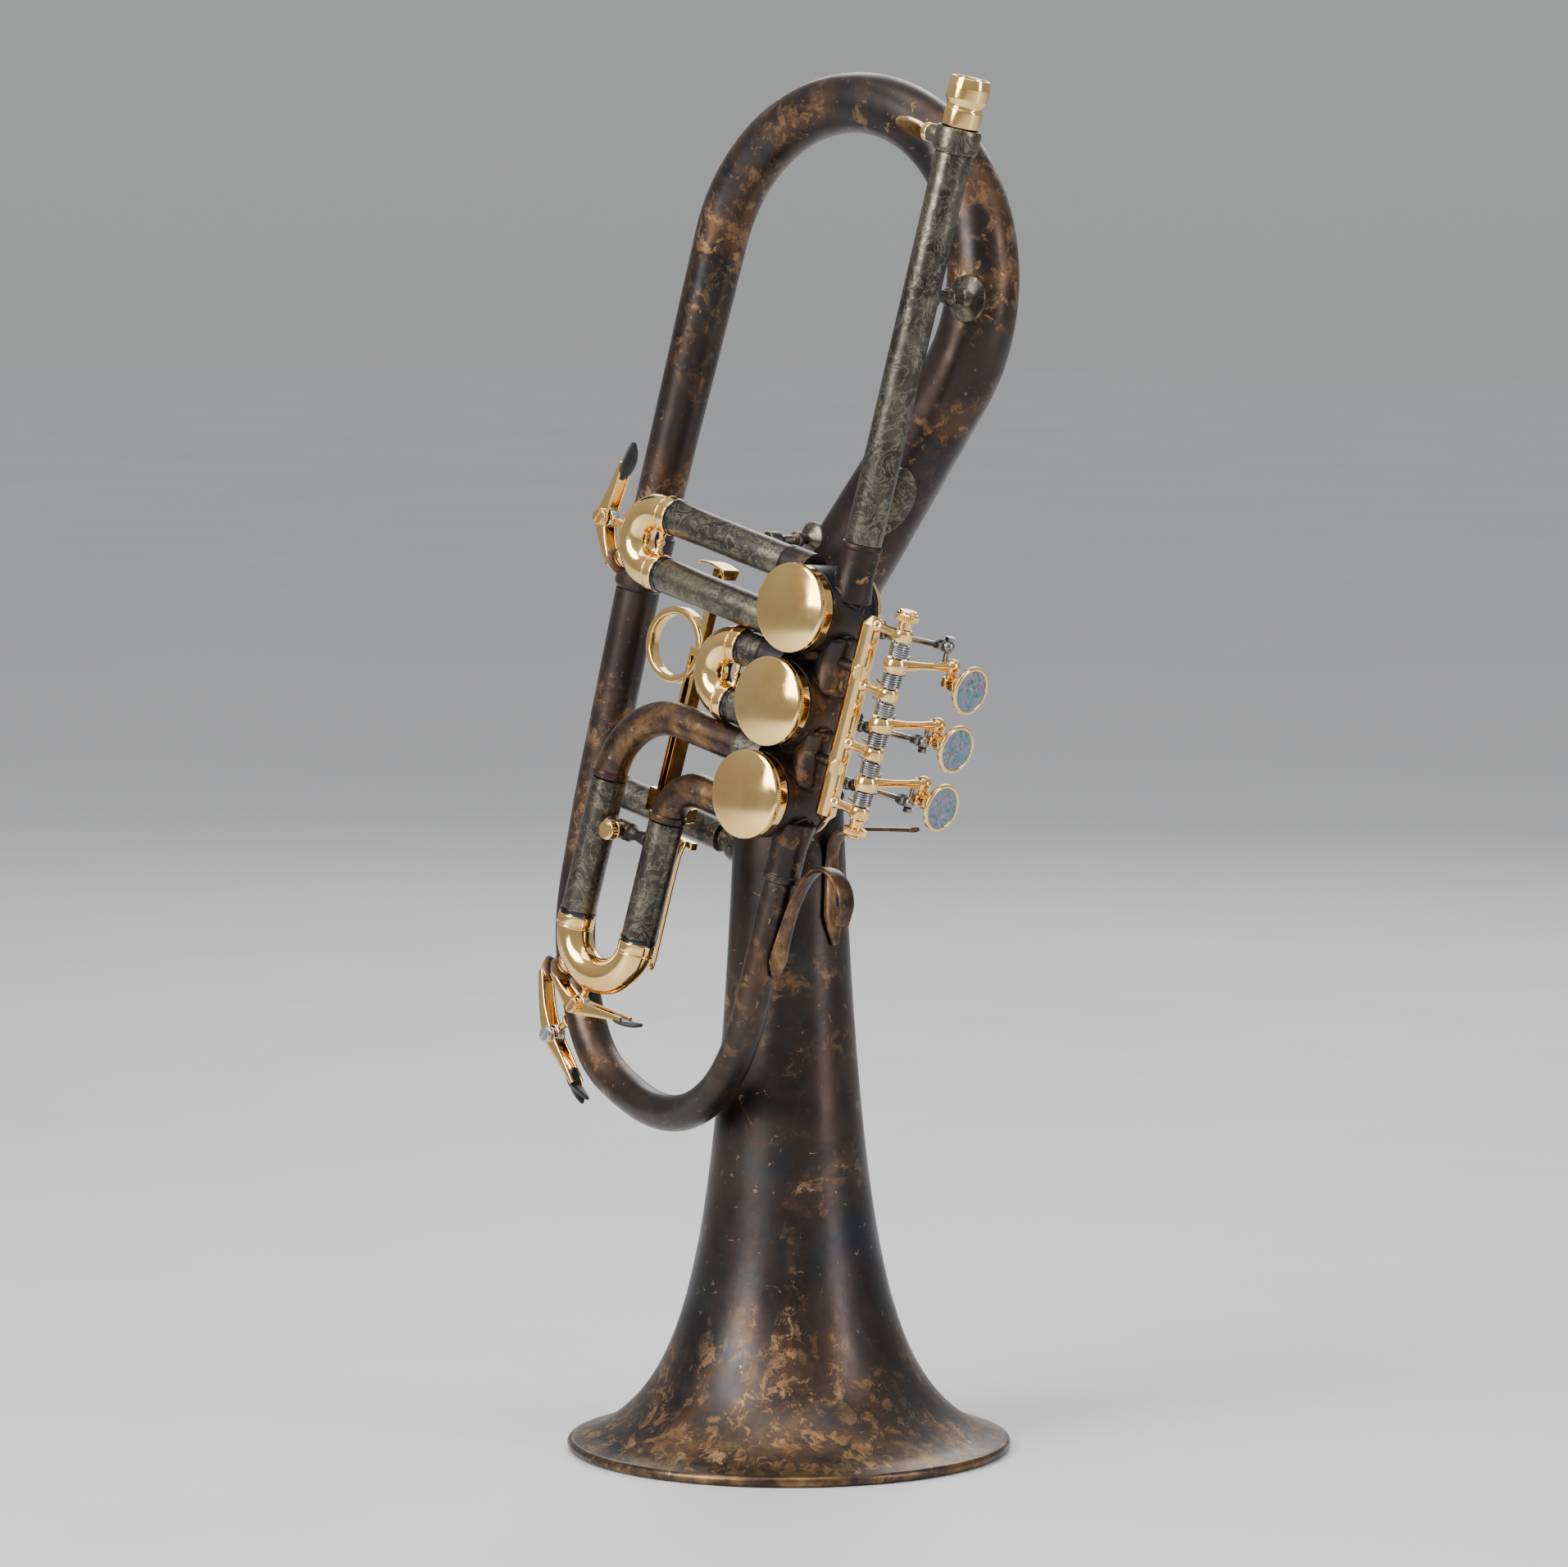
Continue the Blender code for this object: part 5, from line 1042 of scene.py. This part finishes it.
# ---- trigger ---------------------------------------------------------------------------------
def build_trigger():
    """Third slide trigger: thumb plate and finger ring on a channel bar that pulls the crook."""
    edge = [(-2.3, -2.6), (2.3, -2.6), (2.3, 2.6), (1.35, 2.6), (1.35, -1.2), (-1.35, -1.2),
            (-1.35, 2.6), (-2.3, 2.6)]
    slim = [(-1.4, -1.8), (1.4, -1.8), (1.4, 1.8), (-1.4, 1.8)]
    rib = [(-0.5, -1.2), (0.5, -1.2), (0.5, 1.4), (-0.5, 1.4)]
    line = at(TRIGGER_S, 0, TRIGGER_R, "V") @ Matrix.Rotation(math.radians(180), 4, "Z")
    shells = [(plate(edge, -63.8, -0.2, line, 0.22), GOLD),
              (plate(slim, -3.0, 28.0, line @ at(-0.3, 0), 0.35), GOLD),
              (plate(rib, -60.0, -4.0, line, 0.2), GOLD),
              (box((5.0, 3.4, 5.6), at(TRIGGER_S, -1.4, TRIGGER_R), 0.6), GOLD)]
    touch = []
    for i in range(17):
        crown = 0.9 * math.cos(math.pi * (i / 16 - 0.5))
        touch.append(Vector((-69.2 + 12.0 * i / 16, 28.2 + crown, TRIGGER_R)))
    touch += [Vector((-57.0, 27.6, TRIGGER_R)), Vector((-56.9, 25.2, TRIGGER_R))]
    widths = [3.6] + [4.3] * (len(touch) - 2) + [3.2]
    shells.append((sweep(touch, [(width, 0.5) for width in widths], oval(32, 4.0), R_AXIS), GOLD))
    finger_ring = lathe([(12.95, 1.7), (12.95, -1.7), (12.5, -2.4), (10.7, -2.4), (10.25, -1.7),
                         (10.25, 1.7), (10.7, 2.4), (12.5, 2.4)],
                        at(-72.8, -2.2, TRIGGER_R), 128, 0.35, hollow=True)
    pull = spline([(-46.0, -64.6, TRIGGER_R), (THIRD_INNER_S, -67.5, -9.4),
                   (THIRD_INNER_S, -104.5, -9.4), (THIRD_INNER_S, -106.0, -8.0)], 6)
    shells += [(finger_ring, GOLD), (box((21.0, 2.6, 3.8), at(-54.6, -64.6, TRIGGER_R), 0.5), GOLD),
               (sweep(pull, [1.4] * len(pull), oval(28)), GOLD)]
    make("trigger_bar", "third_slide", shells, ["trigger_carriage"])

    level = -54.0
    shells = [(square_tube((4.0, 4.3), (2.75, 3.05), 4.0, at(TRIGGER_S, level, TRIGGER_R, "V")), GOLD),
              (box((14.0, 5.0, 3.2), at(-52.2, level, -12.6), 0.6), GOLD),
              (box((5.0, 5.0, 5.0), at(-46.6, level, -9.0), 0.8), GOLD)]
    make("trigger_slideway", "horn", shells, ["trigger_guide"])


# ---- braces and hooks ------------------------------------------------------------------------
def build_braces():
    """Bell brace, bow stay and slide stay: turned posts with a foot at each end."""
    profile = [(0, -37.0), (6.5, -37.0), (6.5, -46.4), (3.4, -47.4), (3.4, -52.0), (5.6, -52.4),
               (5.4, -54.0), (5.4, -97.4), (5.6, -99.0), (3.4, -99.4), (3.4, -106.0), (5.2, -107.4),
               (5.6, -112.0), (0, -112.0)]
    brace = lathe(profile, at(0, -63.3, BOW_R - 1.0, "S"), 64, 0.5, 5)
    make("bell_brace_tube", "horn", [(brace, NICKEL)], ["bell_brace"])

    profile = [(0, -4.0), (4.4, -4.0), (4.4, -6.9), (1.9, -8.4), (1.9, -13.0), (3.1, -14.2),
               (3.1, -15.8), (1.9, -17.0), (1.9, -21.0), (3.4, -22.4), (7.8, -23.6), (7.8, -24.6),
               (0, -24.6)]
    stay = lathe(profile, at(7.6, 140.2), 64, 0.5, 5)
    make("bow_stay_post", "horn", [(stay, NICKEL)], ["bow_stay"])

    foot = Vector((-33.0, 47.0, -27.0))
    toward = Vector((-36.0, 44.6, -3.0)) - foot
    profile = [(0, 22.0), (3.0, 22.0), (3.0, 17.5), (1.6, 16.0), (1.6, 11.4), (2.8, 10.2), (2.8, 8.4),
               (1.6, 7.4), (1.6, 5.0), (5.8, 3.0), (5.8, 1.6), (0, 1.6)]
    stay = lathe(profile, aim(foot, toward), 56, 0.5, 5)
    make("slide_stay_post", "horn", [(stay, NICKEL)], ["slide_stay"])


def build_hooks():
    """Hooks of flat bronze: one for the ring finger, one on the bell for the little finger."""
    knots = [(17.3, -90.0), (16.9, -84.0), (16.9, -77.0), (17.7, -66.0), (20.2, -56.0), (24.3, -50.1),
             (30.5, -48.8), (36.2, -52.0), (39.2, -57.3), (39.9, -64.0)]
    path = spline([(s, v, 0) for s, v in knots], 8)
    widths = spread([1.2, 4.3, 3.6, 3.0, 2.9, 3.4, 4.0, 4.2, 4.2, 3.2], len(path) - 1)
    hook = sweep(path, [(width, 0.95) for width in widths], oval(28, 2.6), R_AXIS)
    make("finger_rest", "horn", [(hook, BRONZE)], ["finger_hook"])

    around = math.radians(-2.0)
    out = Vector((math.cos(around), math.sin(around), 0))
    knots = []
    for off, height in ((1.0, 172.5), (1.0, 182.5), (1.2, 202.0), (3.4, 208.5), (8.0, 211.8),
                        (24.0, 213.0), (39.0, 213.6)):
        knots.append(out * (bell_radius(min(height, 202.0)) + off) + R_AXIS * height)
    path = spline(knots, 10)
    widths = spread([1.2, 4.5, 2.8, 3.4, 3.7, 4.0, 2.6], len(path) - 1)
    hook = sweep(path, [(width, 0.85) for width in widths], oval(28, 2.6), out.cross(R_AXIS))
    make("little_finger_rest", "horn", [(hook, BRONZE)], ["pinky_hook"], into=WORLD)


# ---- levers ----------------------------------------------------------------------------------
def build_rail():
    """Lever rail with the four eyes for the axle, on two pillars with screw heads."""
    middle = (POST_V[0] + POST_V[-1]) / 2 - 2.5
    shells = [(box((6.2, 6.6, 70.0), at(RAIL_S, middle, AXLE_R, "V"), 2.6), GOLD)]
    for v in POST_V:
        post = lathe([(0, AXLE_S - 2.4), (1.9, AXLE_S - 2.4), (1.45, AXLE_S - 5.0), (1.45, RAIL_S + 4.4),
                      (2.3, RAIL_S + 3.2), (2.3, RAIL_S + 1.8), (0, RAIL_S + 1.8)],
                     at(0, v, AXLE_R, "S"), 40, 0.6, 5)
        eye = lathe([(2.8, 2.1), (3.25, 1.1), (3.25, -1.1), (2.8, -2.1), (1.95, -2.1), (1.95, 2.1)],
                    at(AXLE_S, v, AXLE_R, "V"), 56, 0.4, hollow=True)
        shells += [(post, GOLD), (eye, GOLD)]
    for v in ((VALVE_V[0] + VALVE_V[1]) / 2 + 2.0, (VALVE_V[1] + VALVE_V[2]) / 2 + 1.5):
        shells.append((rod(1.9, RAIL_S, PORT + 5.0, at(0, v, AXLE_R - 0.5, "S")), PATINA))
        head = aim((RAIL_S + 1.7, v, AXLE_R + 2.0), Vector((0.7, 0, 0.7)))
        shells += [(shell, GOLD) for shell in slotted(2.6, 1.9, 0.65, head)]
    make("rail", "horn", shells, ["lever_rail"])


def build_axle():
    """Axle with a knurled, slotted screw at each end."""
    top = POST_V[0] + 2.4
    low = POST_V[-1] - 2.4
    line = at(AXLE_S, 0, AXLE_R, "V")
    knob = 3.9
    profile = [(0, 5.2), (knob - 0.6, 5.2), (knob, 4.7), (knob, 2.9), (2.2, 2.3), (2.5, 0), (0, 0)]
    shells = [(rod(1.6, top + 1.0, low - 1.0, line, 32), STEEL)]
    for end, turn in ((top, 0.0), (low, math.pi)):
        place = line @ at(0, 0, end) @ Matrix.Rotation(turn, 4, "X")
        shells.append((lathe(profile, place, 72, 0.12, knurl=0.25, knurled=(2.95, 4.65)), GOLD))
        shells += [(shell, GOLD) for shell in slotted(2.9, 1.1, 0.7, place @ at(0, 0, 4.9))]
    make("axle", "horn", shells, ["lever_axle"])


def build_lever(number, v):
    """A finger lever with its touch piece, and the double coil spring beside its hub."""
    origin = Vector((AXLE_S, v, AXLE_R))
    tip = origin - R_AXIS * LEVER_ARM
    ball_at = BALL_AT[number - 1]
    globe = [(HUB_R * math.cos(math.radians(a)), HUB_R * math.sin(math.radians(a)))
             for a in range(36, -37, -6)]
    hub = turned(globe + [(1.95, -2.4), (1.95, 2.4)], at(*origin, "V"), 56, hollow=True)
    arm = lathe([(0, -2.0), (2.4, -2.6), (1.85, -5.0), (1.25, -12.0), (1.25, -20.0),
                 (1.7, -LEVER_ARM + 2.6), (0, -LEVER_ARM + 1.6)], at(*origin), 40, 2.0, 8)
    shells = [(hub, GOLD), (arm, GOLD), (ball(tip, 2.75, 40), GOLD)]

    stem_v = -5.0
    stem = at(*(tip + V_AXIS * stem_v), "S")
    lug = lathe([(0, 0.6), (1.5, 0.6), (1.25, -1.5), (1.25, stem_v + 1.6), (2.4, stem_v + 1.2),
                 (2.4, stem_v - 1.8), (0, stem_v - 2.4)], at(*tip, "V"), 36, 0.5, 5)
    knurls = lathe([(0, 4.4), (2.4, 4.4), (2.7, 4.0), (2.7, 1.4), (2.4, 1.0), (0, 1.0)], stem, 60, 0.1,
                   knurl=0.22, knurled=(1.5, 3.9))
    shells += [(lug, GOLD), (knurls, GOLD), (rod(1.25, 8.4, -2.2, stem, 32), GOLD)]
    rim = 8.1
    cup = lathe([(0, 9.7), (rim - 1.3, 9.7), (rim - 1.3, 10.45), (rim - 0.5, 10.6), (rim, 10.1),
                 (rim, 9.3), (rim - 2.2, 7.8), (1.6, 7.2), (0, 7.2)], stem, 96, 0.2)
    pearl = turned([(0, 10.42), (rim - 1.35, 10.3), (rim - 1.35, 9.5), (0, 9.5)], stem, 96)
    shells += [(cup, GOLD), (pearl, SHELL)]

    away = 1 if ball_at.y > v else -1
    reach = ball_at.y + away * 2.7
    pin = at(ball_at.x, 0, ball_at.z, "V")
    shells.append((rod(0.8, max(v, reach), min(v, reach), pin, 24, 0.1), STEEL))
    shells.append((sweep([tip, Vector((ball_at.x, v, ball_at.z))], [1.6, 1.1], oval(32)), GOLD))
    nut = [(0, 0.7), (1.7, 0.7), (1.7, -0.7), (0, -0.7)]
    shells.append((turned(nut, pin @ at(0, 0, reach), 6), STEEL))
    make("finger_lever_%d" % number, "lever_%d" % number, shells, ["lever_%d" % number])

    wire = 0.38
    inner = 2.4 + 0.3 + wire
    outer = 10.0 - 2.1 - 0.3 - wire
    shells = []
    for sign in (1, -1):
        path = coil(2.85, v + sign * outer, v + sign * inner, 5.5, origin)
        path += spline([path[-1], Vector((AXLE_S + 1.4, v + sign * inner, AXLE_R - 4.0)),
                        Vector((AXLE_S - 1.2, v + sign * inner * 0.9, AXLE_R - 7.0)),
                        Vector((AXLE_S - 2.5, v + sign * 0.2, AXLE_R - 8.6))], 6)[1:]
        path = [Vector((AXLE_S - 7.2, v + sign * outer, AXLE_R - 1.4))] + path
        shells.append((sweep(path, [wire] * len(path), oval(10)), STEEL))
    make("double_spring_%d" % number, "lever_%d" % number, shells, ["lever_spring_%d" % number])


def build_rod(number):
    """Linkage rod between a lever's ball and its rotor's stud, with hexagon ends."""
    reach = STOP_RADIUS / math.sqrt(2)
    start = BALL_AT[number - 1]
    end = Vector((reach, VALVE_V[number - 1] + STOP_SIDE[number - 1] * reach, start.z))
    span = (end - start).length
    line = aim(start, (end - start).normalized())
    shells = [(rod(1.05, span - 1.0, 1.0, line, 28, 0.1), SILVER), (ball(start, 2.2), STEEL),
              (ball(end, 2.2), STEEL)]
    for near, far in ((1.6, 5.2), (span - 5.2, span - 1.6)):
        hexed = [(0, far), (1.75, far), (1.95, far - 0.3), (1.95, near + 0.3), (1.75, near), (0, near)]
        shells.append((turned(hexed, line, 6), STEEL))
    make("push_rod_%d" % number, "rod_%d" % number, shells, ["linkage_rod_%d" % number])


# ---- stage -----------------------------------------------------------------------------------
CAMERA_AZIMUTH = 42.46          # degrees round from the view along +Y
CAMERA_DISTANCE = 2.197
CAMERA_HEIGHT = 0.415
CAMERA_PITCH = 4.93
CAMERA_YAW = 0.043
CAMERA_LENS = 150.5
SKY = (0.985, 0.995, 1.010, 1.0)
HORIZON = 0.36                  # sky strength at eye level and overhead
ZENITH = 0.62


def build_camera():
    """The camera that looks at the instrument from the front."""
    data = bpy.data.cameras.new("camera")
    data.lens = CAMERA_LENS
    data.sensor_width = 36.0
    camera = bpy.data.objects.new("camera", data)
    angle = math.radians(CAMERA_AZIMUTH)
    camera.location = (CAMERA_DISTANCE * math.sin(angle), -CAMERA_DISTANCE * math.cos(angle), CAMERA_HEIGHT)
    camera.rotation_euler = (math.radians(90 - CAMERA_PITCH), 0, angle + math.radians(CAMERA_YAW))
    bpy.context.scene.collection.objects.link(camera)
    bpy.context.scene.camera = camera


def add_light(name, azimuth, elevation, distance, size, energy, colour=(1.0, 1.0, 1.0)):
    """A softbox that looks at the middle of the horn."""
    data = bpy.data.lights.new(name, "AREA")
    data.shape = "RECTANGLE"
    data.size, data.size_y = size
    data.energy = energy
    data.color = colour
    light = bpy.data.objects.new(name, data)
    a = math.radians(azimuth)
    e = math.radians(elevation)
    back = Vector((math.sin(a) * math.cos(e), -math.cos(a) * math.cos(e), math.sin(e)))
    light.location = Vector((0, 0, 0.23)) + back * distance
    light.rotation_euler = back.to_track_quat("Z", "Y").to_euler()
    bpy.context.scene.collection.objects.link(light)


def shade_world(tree):
    """Pale sky that is darker at the horizon, so that the floor runs into it without an edge."""
    place = tree.nodes.new("ShaderNodeTexCoord")
    split = tree.nodes.new("ShaderNodeSeparateXYZ")
    shade = tree.nodes.new("ShaderNodeMapRange")
    sky = tree.nodes["Background"]
    shade.inputs["From Min"].default_value = -0.05
    shade.inputs["From Max"].default_value = 0.9
    shade.inputs["To Min"].default_value = HORIZON
    shade.inputs["To Max"].default_value = ZENITH
    tree.links.new(place.outputs["Generated"], split.inputs[0])
    tree.links.new(split.outputs["Z"], shade.inputs["Value"])
    tree.links.new(shade.outputs["Result"], sky.inputs["Strength"])
    sky.inputs["Color"].default_value = SKY


def build_stage():
    """Floor, lights and surroundings."""
    g = Graph("floor")
    colour = g.ramp(g.noise(3.0, 4.0), [(0.3, (0.61, 0.61, 0.62)), (0.7, (0.64, 0.64, 0.65))])
    material = g.feed(colour, g.span(g.noise(12.0, 3.0), 0.3, 0.7, 0.45, 0.55))
    half = 12.0
    mesh = bpy.data.meshes.new("floor")
    corners = [(-half, -half, 0), (half, -half, 0), (half, half, 0), (-half, half, 0)]
    mesh.from_pydata(corners, [], [(0, 1, 2, 3)])
    mesh.materials.append(material)
    floor = bpy.data.objects.new("floor", mesh)
    floor.location.z = -0.0002
    bpy.context.scene.collection.objects.link(floor)
    world = bpy.data.worlds.new("studio")
    world.use_nodes = True
    shade_world(world.node_tree)
    bpy.context.scene.world = world
    add_light("key", CAMERA_AZIMUTH - 52, 28, 1.7, (0.8, 1.3), 44)
    add_light("fill", CAMERA_AZIMUTH + 62, 18, 1.9, (0.4, 1.3), 18)
    add_light("top", CAMERA_AZIMUTH - 10, 78, 1.6, (1.4, 1.0), 16)
    add_light("back", CAMERA_AZIMUTH + 170, 30, 1.9, (1.2, 1.0), 14)


build_bell()
build_bows()
build_tail_patch()
for index in range(3):
    build_valve(index + 1, VALVE_V[index])
build_knuckles()
build_leadpipe()
build_short_slide("first", VALVE_V[0], -73.0, -94.6, 40.0, key_post("first"))
build_short_slide("second", VALVE_V[1], -29.0, -47.4, 9.0, [])
build_third_slide()
for key in ("first", "third", "main"):
    build_key(key)
build_trigger()
build_braces()
build_hooks()
build_rail()
build_axle()
for index in range(3):
    build_lever(index + 1, LEVER_V[index])
    build_rod(index + 1)
build_camera()
build_stage()
